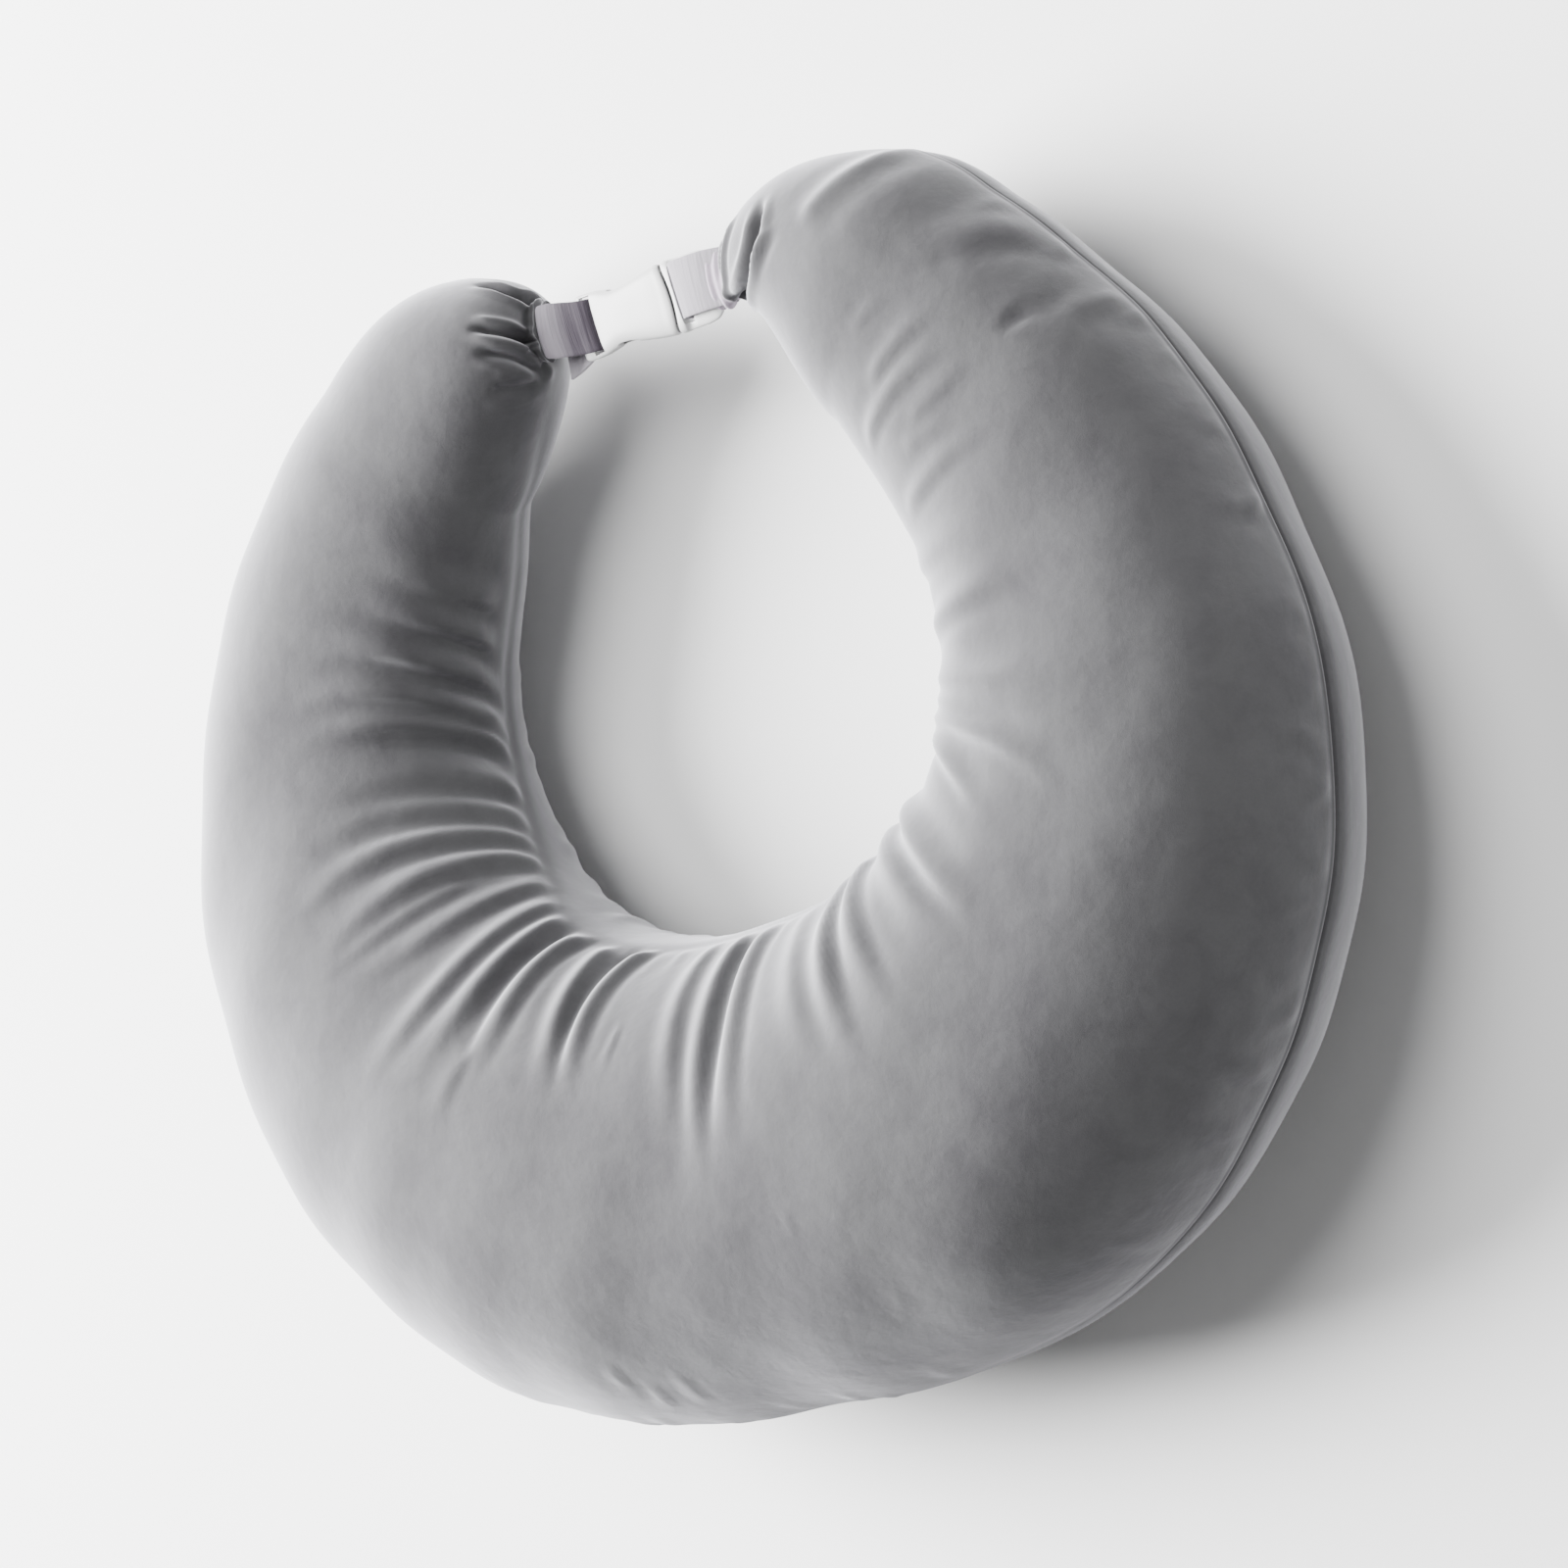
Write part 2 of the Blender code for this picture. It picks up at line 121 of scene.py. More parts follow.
# Folds of the front panel. First turn and last turn; angle of the fold's crest at its start, a third
# and two thirds of the way and at its end; height and half width in mm
FOLDS = (
    (182, 112, -121.9, -123.4, -125.2, -125.8, 2.6, 4.6),
    (184, 112, -113.6, -116.6, -118.7, -119.0, 3.7, 4.4),
    (188, 102, -104.9, -109.4, -112.3, -110.8, 5.0, 4.1),
    (188, 96, -97.6, -103.6, -106.1, -104.2, 5.2, 3.8),
    (187, 100, -93.4, -99.2, -101.0, -100.4, 4.2, 3.5),
    (187, 108, -84.6, -89.9, -92.5, -91.6, 3.52, 4.2),
    (185, 104, -77.6, -84.3, -86.9, -86.1, 3, 3.9),
    (183, 92, -73.6, -79.4, -80.8, -76.2, 3.1, 3.4),
    (181, 97, -68.1, -73.4, -73.5, -70.4, 2.7, 3.3),
    (152, 95, -69.5, -69.5, -69.0, -68.6, 1, 2.6),
    (178, 103, -61.8, -63.8, -63.7, -66.4, 2.0, 3.2),
    (173, 92, -56.2, -55.2, -53.5, -53.3, 2.3, 3.2),
    (169, 104, -49.8, -49.2, -47.2, -47.4, 2.2, 3.1),
    (120, 101, -40.8, -40.6, -40.4, -39.8, 1, 2.8),
    (168, 112, -39.6, -41.5, -39.5, -38.4, 2.7, 3.1),
    (167, 110, -31.3, -30.1, -25.9, -21.9, 2.4, 3.1),
    (167, 113, -19.3, -21.7, -20.9, -18.8, 2.5, 3),
    (166, 97, 2.2, 1.0, 1.6, 0.2, 1.6, 3.2),
    (166, 84, 10.9, 9.6, 7.1, 3.9, 2.3, 3),
    (166, 90, 20.3, 17.3, 14.0, 9.7, 2.4, 3.3),
    (162, 100, 31.5, 30.5, 29.0, 29.0, 1.2, 3.4),
    (166, 92, 43.8, 39.3, 35.6, 33.6, 3, 3.2),
    (167, 94, 47.0, 44.7, 42.5, 40.5, 3, 3.1),
    (169, 98, 54.5, 53.4, 52.6, 51.0, 2.8, 3.2),
    (171, 88, 60.0, 59.0, 57.0, 53.8, 3.2, 3.3),
    (168, 102, 73.0, 72.3, 69.3, 65.2, 2.8, 3),
    (170, 78, 76.2, 75.5, 74.2, 68.2, 3.3, 3.2),
    (162, 82, 79.2, 78.6, 78.5, 77.6, 2.4, 3.2),
    (156, 72, 82.2, 81.3, 81.0, 79.6, 2.5, 3.4),
    (152, 80, 88.2, 90.6, 91.8, 91.6, 2.1, 3.6),
    (176, 96, 101.0, 100.5, 100.0, 99.5, 1.2, 3.4),
    (134, 76, 107.7, 108.2, 108.6, 108.2, 1.3, 2.8),
    (112, 82, 113.6, 113.1, 112.1, 111.3, 0.6, 2.5),
    (104, 68, 115.6, 115.6, 115.6, 115.1, 0.8, 2.5),
    (132, 66, 119.6, 120.5, 120.1, 118.4, 1.35, 2.7),
    (108, 64, 124.0, 123.9, 123.6, 122.2, 1.2, 2.5),
    (98, 72, 129.8, 129.6, 129.2, 128.6, 0.55, 2),
    (52, 2, 127.0, 126.0, 124.6, 123.0, 1.3, 6.5),
    (40, 26, -12.5, -12.5, -12.8, -13.0, 0.8, 1.8),
    (48, 36, -15.6, -15.4, -15.0, -14.8, 0.7, 1.8),
    (42, 26, -9.0, -9.0, -9.0, -9.0, 0.7, 1.8),
    (79, 70, 14.4, 14.2, 13.8, 13.4, 0.5, 1.2),
    (51, 41, 19.0, 18.4, 17.4, 16.4, 0.5, 1.2),
    (134, 120, -12.0, -12.2, -12.6, -12.9, 0.5, 1.4),
)
FOLD_RISE = 0.16             # share of a fold over which it rises from its start
FOLD_RISE_ARMS = 0.24        # the same on the arms, beyond these two angles
LEFT_ARM = -103
RIGHT_ARM = 55
FOLD_FADE = 0.55             # and the share where it starts to fade
FOLD_SPREAD = (1.15, 0.5)    # what its half width is multiplied by at its start, and adds by its end
FOLD_LEAN = 0.24             # how much wider its upper side is, as the cloth sags over its lower side
FOLD_HOLLOW = 0.30           # depth of the hollow on either side of a fold, as a share of its height
FOLD_HOLLOW_AT = 1.75        # how far off it lies, and how wide it is, in half widths of the fold
FOLD_HOLLOW_WIDTH = 0.9

# Deep hollows between folds, with the same columns; the height is a depth
HOLLOWS = (
    (168, 108, -45.0, -45.2, -43.0, -39.0, 2.2, 2.6),
    (168, 110, -24.6, -25.4, -23.8, -21.0, 2.2, 2.4),
    (164, 97, 15.5, 13.7, 11.1, 7.1, 2.0, 2.4),
)

# Short creases and pinches: points as place along the U and turn, height, half width in mm. On the
# horn ends a place goes on from the end's start, by END_WAY up to its root
END_WAY = 30
CREASES = (
    ("left", ((0.564, 23), (0.769, 24), (0.974, -25)), -5.0, 1.6),
    ("left", ((0.615, 73), (0.846, 84), (1.06, 112)), -5.6, 1.6),
    ("left", ((0.615, 92), (0.795, 112), (0.920, 173)), -4.2, 1.8),
    ("left", ((0.600, 124), (0.821, 168)), -2.0, 2.6),
    ("right", ((0.500, 50), (0.462, 74), (0.462, 95), (0.590, 135), (0.974, 189)), -5.2, 2.4),
    ("right", ((0.380, 72), (0.410, 88), (0.462, 107), (0.530, 132)), 1.6, 2.0),
    ("right", ((0.274, 72), (0.250, 50), (0.220, 28), (0.194, 8)), 1.8, 5.0),
    ("right", ((0.780, 40), (0.821, 58), (0.897, 95), (0.949, 134)), -3.0, 1.2),
    ("right", ((0.640, 44), (0.680, 66), (0.740, 100), (0.900, 150)), 1.4, 1.5),
    ("right", ((-0.500, 55), (-0.493, 49), (-0.490, 43)), -1.0, 2.4),
    ("right", ((-0.480, 52), (-0.513, 40), (-0.500, 30), (-0.450, 16)), -0.8, 4.6),
    ("right", ((-0.600, 34), (-0.640, 26), (-0.680, 16)), -0.7, 5.5),
    ("right", ((-0.180, 58), (-0.160, 48), (-0.220, 34), (-0.330, 22)), -0.7, 5.5),
)
CREASE_TURN = 0.4            # a turn's degrees count this much against an angle's along a crease
CREASE_STEPS = 145
CREASE_REACH = 6             # half widths from a crease beyond which the cloth stays as it is
CREASE_LIPS = 0.30           # height of its lips, as a share of its depth
CREASE_LIPS_AT = 2.3         # how far off they lie, and how wide they are, in half widths
CREASE_LIPS_WIDTH = 1.1
CREASE_RISE = 0.18
CREASE_FADE = (0.75, 0.6)    # share where it starts to fade, and how much it fades

# Rows of small gathers: seam that they start at, above or under it, how many, first angle, step,
# reach from the seam in turn, share of it that stays clear of the seam, height and half width in mm
GATHERS = (
    ("inner", 52, -112.0, 2.9, 15, 0.04, 0.15, 1.8),
    ("under", 48, -118.0, 5.0, 62, 0.28, 1.00, 3.8),
    ("outer", 24, 33.0, 4.1, 24, 0.12, 0.85, 3.6),
    ("outer", 19, -60.0, 4.4, 22, 0.12, 0.55, 3.4),
)
GATHER_RISE = 0.31           # share of its reach over which a gather rises
GATHER_FADE = 0.40           # and share where it starts to fade
GATHER_HOLLOW = 0.45         # depth of the hollow beside it, as a share of its height
GATHER_HOLLOW_AT = 1.8       # how far off it lies, in half widths
# How uneven a row of gathers is: share of a step, of the reach and of the height, and slant
UNEVEN_STEP = 0.34
UNEVEN_REACH = 0.35
UNEVEN_HEIGHT = 0.45
UNEVEN_SLANT = 0.06


# Settings

def colour_setting(name, description, default):
    return FloatVectorProperty(name=name, description=description, subtype="COLOR", size=3,
                               min=0, max=1, default=default)


def length_setting(name, description, default, low, high):
    return FloatProperty(name=name, description=description, unit="LENGTH", min=low, max=high,
                         default=default)


def angle_setting(name, description, default):
    return FloatProperty(name=name, description=description, subtype="ANGLE", default=default)


class PillowCoverSettings(bpy.types.PropertyGroup):
    colour: colour_setting("Velvet colour", "Colour of the pile", (0.083, 0.083, 0.0855))
    nap_and_shade_colour: colour_setting(
        "Brushed colour", "Colour of the pile's brushing the other way, and of the painted shade at the outside of the closed end", (0.047, 0.045, 0.0495))
    painted_sheen_colour: colour_setting(
        "Edge colour", "Painted sheen where the pile is seen from the side", (0.46, 0.46, 0.48))
    sleeve_and_highlight_colour: colour_setting(
        "Sleeve colour", "Colour of the pale sleeve at the right horn's end, partly a painted highlight", (0.36, 0.31, 0.37))
    fold_strength: FloatProperty(
        name="Fold strength", description="Height of the gathered folds against the table of folds",
        min=0, max=3, default=0.92)
    seam_depth: length_setting("Seam depth", "How deep the seams draw the cloth in", 0.0028, 0, 0.006)
    rows: IntProperty(
        name="Rows over the crown", description="Rows of the net between the seams, over the crown",
        min=20, max=80, default=48)
    rows_under: IntProperty(
        name="Rows under", description="Rows of the net between the seams, on the underside",
        min=12, max=60, default=20)


class PillowStrapSettings(bpy.types.PropertyGroup):
    colour: colour_setting("Webbing colour", "Colour of the straps", (0.52, 0.49, 0.54))
    painted_shade_colour: colour_setting(
        "Shaded colour", "Painted shade of the straps, deepest on the left strap where it dips into the buckle",
        (0.034, 0.026, 0.038))
    thickness: length_setting("Webbing thickness", "Thickness of one layer", 0.0014, 0.0005, 0.003)


class PillowBuckleSettings(bpy.types.PropertyGroup):
    colour: colour_setting("Buckle colour", "Colour of the moulded plastic", (0.56, 0.56, 0.56))
    parting_shade_colour: colour_setting(
        "Parting colour", "Colour of the painted shade in the parting line", (0.05, 0.05, 0.05))


class PillowStageSettings(bpy.types.PropertyGroup):
    distance: length_setting("Camera distance", "From the camera to the middle of the hole", 3.0, 1, 6)
    tilt: angle_setting("Camera tilt", "Angle between the line of sight and the vertical", 0.6713)
    heading: angle_setting("Camera heading", "Compass angle of the camera, from +X", -0.13044)
    roll: angle_setting("Camera roll", "Turn of the picture about the line of sight", -0.22736)
    lens: FloatProperty(
        name="Focal length", description="Focal length for a sensor 36 mm wide",
        min=50, max=300, default=178.776)
    aside: FloatVectorProperty(
        name="Camera offset", description="Offset of the camera to its right and upwards",
        subtype="XYZ", unit="LENGTH", size=2, default=(-0.0136, -0.0354))
    floor_colour: colour_setting("Floor colour", "Colour of the plain floor", (0.92, 0.92, 0.92))


# Finishes

SHADED_FACING = (0.05, -0.99, -0.14)     # way the surface faces where the velvet gets painted shade: away from the hole at the closed end, a little down
SHEEN_CUT_WHERE_SHADED = 0.85       # share by which the painted sheen is cut back there, as painted shade
MIX_FIRST = 6                # sockets of a Mix node that hold its two colours and the result
MIX_SECOND = 7
MIX_RESULT = 2


class Value:
    """A number that varies over a surface: arithmetic on it adds Math nodes to its tree."""

    def __init__(self, finish, socket):
        self.finish = finish
        self.socket = socket

    def _math(self, operation, first, second=None):
        links = {0: first} if second is None else {0: first, 1: second}
        return self.finish.add("ShaderNodeMath", {"operation": operation}, links)

    def __add__(self, other):
        return self._math("ADD", self, other)

    def __rsub__(self, other):
        return self._math("SUBTRACT", other, self)

    def __mul__(self, other):
        return self._math("MULTIPLY", self, other)

    def __pow__(self, other):
        return self._math("POWER", self, other)

    __radd__ = __add__
    __rmul__ = __mul__

    def sine(self):
        return self._math("SINE", self)


class Finish:
    """A procedural material, built node by node."""

    def __init__(self, name, colour, roughness, **constant):
        self.material = bpy.data.materials.new(name)
        self.material.use_nodes = True
        self.tree = self.material.node_tree
        self.shader = self.tree.nodes["Principled BSDF"]
        self.shader.inputs["Base Color"].default_value = (*colour, 1)
        self.shader.inputs["Roughness"].default_value = roughness
        for socket, value in constant.items():
            self.shader.inputs[socket.replace("_", " ")].default_value = value

    def add(self, kind, settings=None, links=None, output=0):
        """Adds a node: its settings first, then the values or links of its sockets."""
        node = self.tree.nodes.new(kind)
        for key, value in (settings or {}).items():
            setattr(node, key, value)
        for key, value in (links or {}).items():
            if isinstance(value, Value):
                self.tree.links.new(value.socket, node.inputs[key])
            else:
                node.inputs[key].default_value = value
        return Value(self, node.outputs[output])

    def place(self, kind="Object"):
        return self.add("ShaderNodeTexCoord", output=kind)

    def shade(self, name):
        return self.add("ShaderNodeAttribute", {"attribute_name": name}, output="Fac")

    def stretched(self, place, scale):
        return self.add("ShaderNodeVectorMath", {"operation": "MULTIPLY"}, {0: place, 1: scale})

    def noise(self, place, scale, detail=3.0, roughness=0.55, distortion=0.0):
        return self.add("ShaderNodeTexNoise", {}, {
            "Vector": place, "Scale": scale, "Detail": detail, "Roughness": roughness,
            "Distortion": distortion}, output="Fac")

    def spread(self, value, low, high):
        """Maps a value from low..high to 0..1, clamped."""
        return self.add("ShaderNodeMapRange", {"clamp": True}, {
            "Value": value, "From Min": low, "From Max": high}, output="Result")

    def blend(self, factor, first, second):
        """Mixes two colours."""
        first, second = (colour if isinstance(colour, Value) else (*colour, 1)
                         for colour in (first, second))
        return self.add("ShaderNodeMix", {"data_type": "RGBA"}, {
            "Factor": factor, MIX_FIRST: first, MIX_SECOND: second}, MIX_RESULT)

    def feed(self, socket, value):
        self.tree.links.new(value.socket, self.shader.inputs[socket])

    def relief(self, layers):
        """Bumps, each a (height, strength, distance) laid over the last."""
        normal = None
        for height, strength, distance in layers:
            links = {"Height": height, "Strength": strength, "Distance": distance}
            if normal is not None:
                links["Normal"] = normal
            normal = self.add("ShaderNodeBump", {}, links)
        self.feed("Normal", normal)


def velvet(settings):
    """Short grey pile: soft cloudy brushing, a bright edge seen from the side that is a painted sheen,
    painted shade at the outside of the closed end, and fine fibres.
    """
    made = Finish("grey_velvet", settings.colour, 0.92, Sheen_Weight=0.42, Sheen_Roughness=0.40,
                  Sheen_Tint=(0.95, 0.95, 1.0, 1), Specular_IOR_Level=0.12)
    place = made.place()
    clouds = made.spread(made.noise(place, 11, 5, 0.55, 0.2), 0.38, 0.66)
    patches = made.spread(made.noise(place, 52, 4, 0.6, 0.5), 0.42, 0.70)
    fibres = made.noise(place, 900, 2, 0.7)
    # Painted shade: the pile is made darker where the surface faces away from the hole at the closed
    # end, a little downwards.
    facing = made.add("ShaderNodeVectorMath", {"operation": "DOT_PRODUCT"},
                      {0: made.place("Normal"), 1: SHADED_FACING}, output="Value")
    shaded_facing = made.spread(facing, 0.64, 0.96)
    # The clouds, patches and fibres are the pile's own brushing; the last term is the painted shade.
    brushing_and_shade = clouds * 0.40 + patches * 0.28 + fibres * 0.25 + shaded_facing * 1.2
    pile_and_shade_colour = made.blend(brushing_and_shade, settings.colour, settings.nap_and_shade_colour)
    # Painted sheen: the colour turns paler where the surface is seen from the side, less so where the
    # painted shade lies.
    painted_sheen = made.add("ShaderNodeLayerWeight", {}, {"Blend": 0.5}, output="Facing") ** 3
    painted_sheen = painted_sheen * (1 - SHEEN_CUT_WHERE_SHADED * shaded_facing)
    with_painted_sheen = made.blend(painted_sheen, pile_and_shade_colour, settings.painted_sheen_colour)
    # The pale sleeve colour on the right horn's neck is partly a painted highlight.
    made.feed("Base Color", made.blend(made.shade("sleeve"), with_painted_sheen, settings.sleeve_and_highlight_colour))
    made.feed("Roughness", 0.86 + fibres * 0.12)
    sag = made.noise(place, 55, 3, 0.5)
    tufts = made.noise(place, 800, 2, 0.6)
    pile = made.noise(place, 2600, 3, 0.75)
    made.relief(((sag, 0.10, 0.012), (tufts, 0.14, 0.0005), (pile, 0.35, 0.0004)))
    return made.material


def webbing(settings):
    """Woven polyester: fine ribs across, thinner yarns along, in pale lilac grey."""
    made = Finish("lilac_webbing", settings.colour, 0.72, Sheen_Weight=0.25, Sheen_Roughness=0.4,
                  Specular_IOR_Level=0.3)
    uv = made.place("UV")
    along, across = (made.add("ShaderNodeSeparateXYZ", {}, {0: uv}, output) for output in "XY")
    ribs = (along * 11000).sine() * 0.5 + 0.5
    yarns = (across * 15000).sine() * 0.5 + 0.5
    weave = ribs * 0.6 + ribs * yarns * 0.4
    wear = made.noise(made.place(), 180, 3, 0.6)
    streaks = made.noise(made.stretched(uv, (750, 30, 1)), 1, 3, 0.6)
    shade = weave * 0.12 + wear * 0.33 + streaks * 0.55
    dark = tuple(part * 0.55 for part in settings.colour)
    cloth = made.blend(shade, dark, settings.colour)
    # Painted shade, read from the vertices and streaked with the webbing's own streaks.
    painted_shade_share = made.shade("painted_shade") * (0.78 + 0.30 * streaks)
    made.feed("Base Color", made.blend(painted_shade_share, cloth, settings.painted_shade_colour))
    made.feed("Roughness", 0.62 + wear * 0.2)
    made.relief(((streaks, 0.35, 0.0010), (weave, 0.15, 0.0002)))
    return made.material


def plastic(settings):
    """White moulded acetal: satin, with a faint moulded grain, and painted shade in the parting line.
    """
    made = Finish("white_plastic", settings.colour, 0.34, Coat_Weight=0.12, Coat_Roughness=0.25)
    place = made.place()
    grain = made.noise(place, 2400, 2, 0.6)
    cast = made.noise(place, 90, 2, 0.5)
    dull = tuple(part * 0.94 for part in settings.colour)
    cast_colour = made.blend(cast * 0.4, settings.colour, dull)
    # Painted shade: the ring at the parting line is coloured nearly black.
    made.feed("Base Color", made.blend(made.shade("parting"), cast_colour, settings.parting_shade_colour))
    made.feed("Roughness", 0.30 + cast * 0.12)
    made.relief(((grain, 0.08, 0.0002),))
    return made.material


# The tube's sections

def read_row(table, angle):
    """The columns of a table at an angle, on a smooth curve through its rows."""
    angles, rows = table[:, 0], table[:, 1:]
    slopes = np.gradient(rows, angles, axis=0)
    i = int(np.clip(np.searchsorted(angles, angle) - 1, 0, len(angles) - 2))
    step = angles[i + 1] - angles[i]
    u = (angle - angles[i]) / step
    return ((1 + 2 * u) * (1 - u) ** 2 * rows[i] + u * (1 - u) ** 2 * step * slopes[i]
            + u * u * (3 - 2 * u) * rows[i + 1] + u * u * (u - 1) * step * slopes[i + 1])


def ease(low, high, value):
    """Goes smoothly from 0 at low to 1 at high."""
    u = np.clip((value - low) / (high - low), 0, 1)
    return u * u * (3 - 2 * u)


def hill(start, full, fade, end, value):
    """Goes smoothly from 0 at start to 1 at full, and from fade back to 0 at end."""
    return ease(start, full, value) * (1 - ease(fade, end, value))


def mix(first, second, share):
    return first + (second - first) * share


def bell(value, middle=0.0, width=1.0):
    """A smooth hump, 1 at the middle."""
    return np.exp(-((value - middle) / width) ** 2)


def plain_section(angle):
    radius, width, thick, lift = read_row(SECTIONS, angle)
    return {"way": angle, "angle": angle, "radius": radius, "width": width, "thick": thick,
            "height": thick - SINK + lift, "face": angle, "closed": 0.0, "slip": 0.0}


def end_section(end, closed):
    """A section of a horn end, from plain at closed = 0 to the neck round the strap at 1."""
    plain = plain_section(end["side"] * end["start"])
    root_angle = end["side"] * (180 - math.degrees(math.atan2(end["root_x"], end["root_y"])))
    root_radius = math.hypot(end["root_x"], end["root_y"])
    along = math.sin(closed * math.pi / 2)
    left = max(math.cos(closed * math.pi / 2), 0.0)
    led = along ** end["line"]
    angle = mix(plain["angle"], root_angle, along)
    return {
        "way": end["side"] * (end["start"] + END_WAY * closed),
        "angle": angle,
        "radius": mix(plain["radius"], root_radius, led),
        "width": mix(NECK_HALF_WIDTH, plain["width"], left ** end["width"]),
        "thick": mix(NECK_HALF_THICK, plain["thick"], left ** end["thick"]),
        "height": mix(plain["height"], STRAP_Z, along ** 2),
        "face": mix(angle, end["side"] * 180, led),
        "closed": closed,
        "slip": 0.0,
    }


def neck_section(end, share):
    """A section of the gathered neck, which goes on from the root towards the buckle."""
    made = end_section(end, 1.0)
    tucked = max(share - TUCK_FROM, 0) / (1 - TUCK_FROM)
    made["slip"] = -end["side"] * end["neck"] * (share - TUCK_BACK * tucked)
    for key, taper, tuck in zip(("width", "thick"), NECK_TAPER, TUCK):
        made[key] *= 1 - taper * share - tuck * tucked
    made["closed"] = 1.0 + share
    made["way"] = end["side"] * (end["start"] + END_WAY * (1 + share))
    return made


def horn_sections(end):
    """The sections of a horn end and its neck, outwards."""
    made = [end_section(end, step / end["steps"]) for step in range(1, end["steps"] + 1)]
    return made + [neck_section(end, step / NECK_STEPS) for step in range(1, NECK_STEPS + 1)]


def stations():
    """All sections in order, closer together where the cloth is gathered."""
    left, right = HORN_ENDS.values()
    made = horn_sections(left)[::-1]
    for first, last, step in ((-left["start"], GATHERED_FROM, NET_COARSE),
                              (GATHERED_FROM, right["start"], NET_FINE)):
        count = round((last - first) / step)
        made += [plain_section(first + (last - first) * i / count) for i in range(count)]
    return made + [plain_section(right["start"])] + horn_sections(right)


def turn_rows(seam, over, under):
    """Turns of the points round a section, closer together at its two seams."""
    first = np.linspace(EVEN_ROWS_FROM, seam - EVEN_ROWS_FROM, over)
    second = np.linspace(seam + EVEN_ROWS_FROM, 360 - EVEN_ROWS_FROM, under)
    before = SEAM_ROWS[::-1]
    return np.concatenate(([0], SEAM_ROWS, first, seam - before, [seam], seam + SEAM_ROWS, second,
                           360 - before))


def smooth_line(points, count):
    """A smooth curve through points given as rows, with evenly spaced shares."""
    points = np.array(points, dtype=float)
    knots = np.concatenate(([0], np.cumsum(np.linalg.norm(np.diff(points, axis=0), axis=1))))
    table = np.column_stack((knots / knots[-1], points))
    shares = np.linspace(0, 1, count)
    return shares, np.array([read_row(table, share) for share in shares])


def crease_heights(co, tube):
    """How far the creases sink, and their lips rise, at points of the surface, in metres."""
    height = np.zeros(len(co))
    for end, points, high, half in CREASES:
        horn = HORN_ENDS[end]
        spots = [(horn["side"] * (horn["start"] + END_WAY * closed), turn * CREASE_TURN)
                 for closed, turn in points]
        shares, line = smooth_line(spots, CREASE_STEPS)
        path = tube.points(tube.station_of(line[:, 0]), line[:, 1] / CREASE_TURN)
        reach = CREASE_REACH * half / 1000
        near = np.where(((co > path.min(0) - reach) & (co < path.max(0) + reach)).all(1))[0]
        apart = np.linalg.norm(co[near, None] - path[None], axis=2)
        best = apart.argmin(1)
        way = apart[np.arange(len(near)), best] * 1000 / half
        share = shares[best]
        swell = ease(0, CREASE_RISE, share) * (1 - ease(CREASE_FADE[0], 1, share) * CREASE_FADE[1])
        lips = CREASE_LIPS * bell(way, CREASE_LIPS_AT, CREASE_LIPS_WIDTH)
        height[near] += high / 1000 * swell * (bell(way) - lips)
    return height


def rest(height, softness):
    """Heights, with the underside pressed flat on the surface that the pillow lies on."""
    return (height + np.sqrt(height * height + softness ** 2)) / 2


class Tube:
    """The net of the pillow: stations along the U, rows round it, and what is known at each."""

    def __init__(self, over, under):
        parts = stations()
        for part in parts:
            part["seam"] = float(read_row(INNER_SEAM, part["angle"])[0])
        self.turn = np.array([turn_rows(part["seam"], over, under) for part in parts])
        self.column = {key: np.array([part[key] for part in parts]) for key in parts[0]}
        self.stations, self.rows = self.turn.shape

    def at(self, key, station):
        """A column of the stations, at stations that may lie between two of them."""
        return np.interp(station, np.arange(self.stations), self.column[key])

    def station_of(self, way):
        """The station at a place along the U."""
        return np.interp(way, self.column["way"], np.arange(self.stations))

    def turn_at(self, station, row):
        """The turn at fractional stations and rows."""
        table = np.hstack((self.turn, np.full((self.stations, 1), 360.0)))
        s = np.clip(np.floor(station).astype(int), 0, self.stations - 2)
        r = np.clip(np.floor(row).astype(int), 0, self.rows - 1)
        u, v = station - s, row - r
        return mix(mix(table[s, r], table[s + 1, r], u),
                   mix(table[s, r + 1], table[s + 1, r + 1], u), v)

    def points(self, station, turn):
        """Points of the plain surface."""
        get = {key: self.at(key, station) for key in self.column}
        rad = np.radians(turn)
        c, s = np.cos(rad), np.sin(rad)
        power = 2 + FULLNESS * hill(*FULL_BETWEEN, get["angle"])
        round_out = (np.abs(c) ** power + np.abs(s) ** power) ** (-1 / power)
        round_out = np.where((c > 0) & (s > 0), round_out, 1)
        across = get["width"] * c * round_out
        height = get["height"] + get["thick"] * s * round_out
        angle, face = np.radians(get["angle"]), np.radians(get["face"])
        x = HOLE_X + get["radius"] * np.sin(angle) + across * np.sin(face) + get["slip"]
        y = HOLE_Y - get["radius"] * np.cos(angle) - across * np.cos(face)
        return np.stack((x, y, rest(height, REST_SOFTNESS)), -1)


def along_line(u, crest):
    """The angle of a fold's crest at a share u of its way, through its four given angles."""
    a0, a1, a2, a3 = crest
    return (a0 * (1 - 3 * u) * (1 - 1.5 * u) * (1 - u) + a1 * 9 * u * (1 - 1.5 * u) * (1 - u)
            + a2 * 4.5 * u * (3 * u - 1) * (1 - u) + a3 * u * (3 * u - 1) * (1.5 * u - 1))


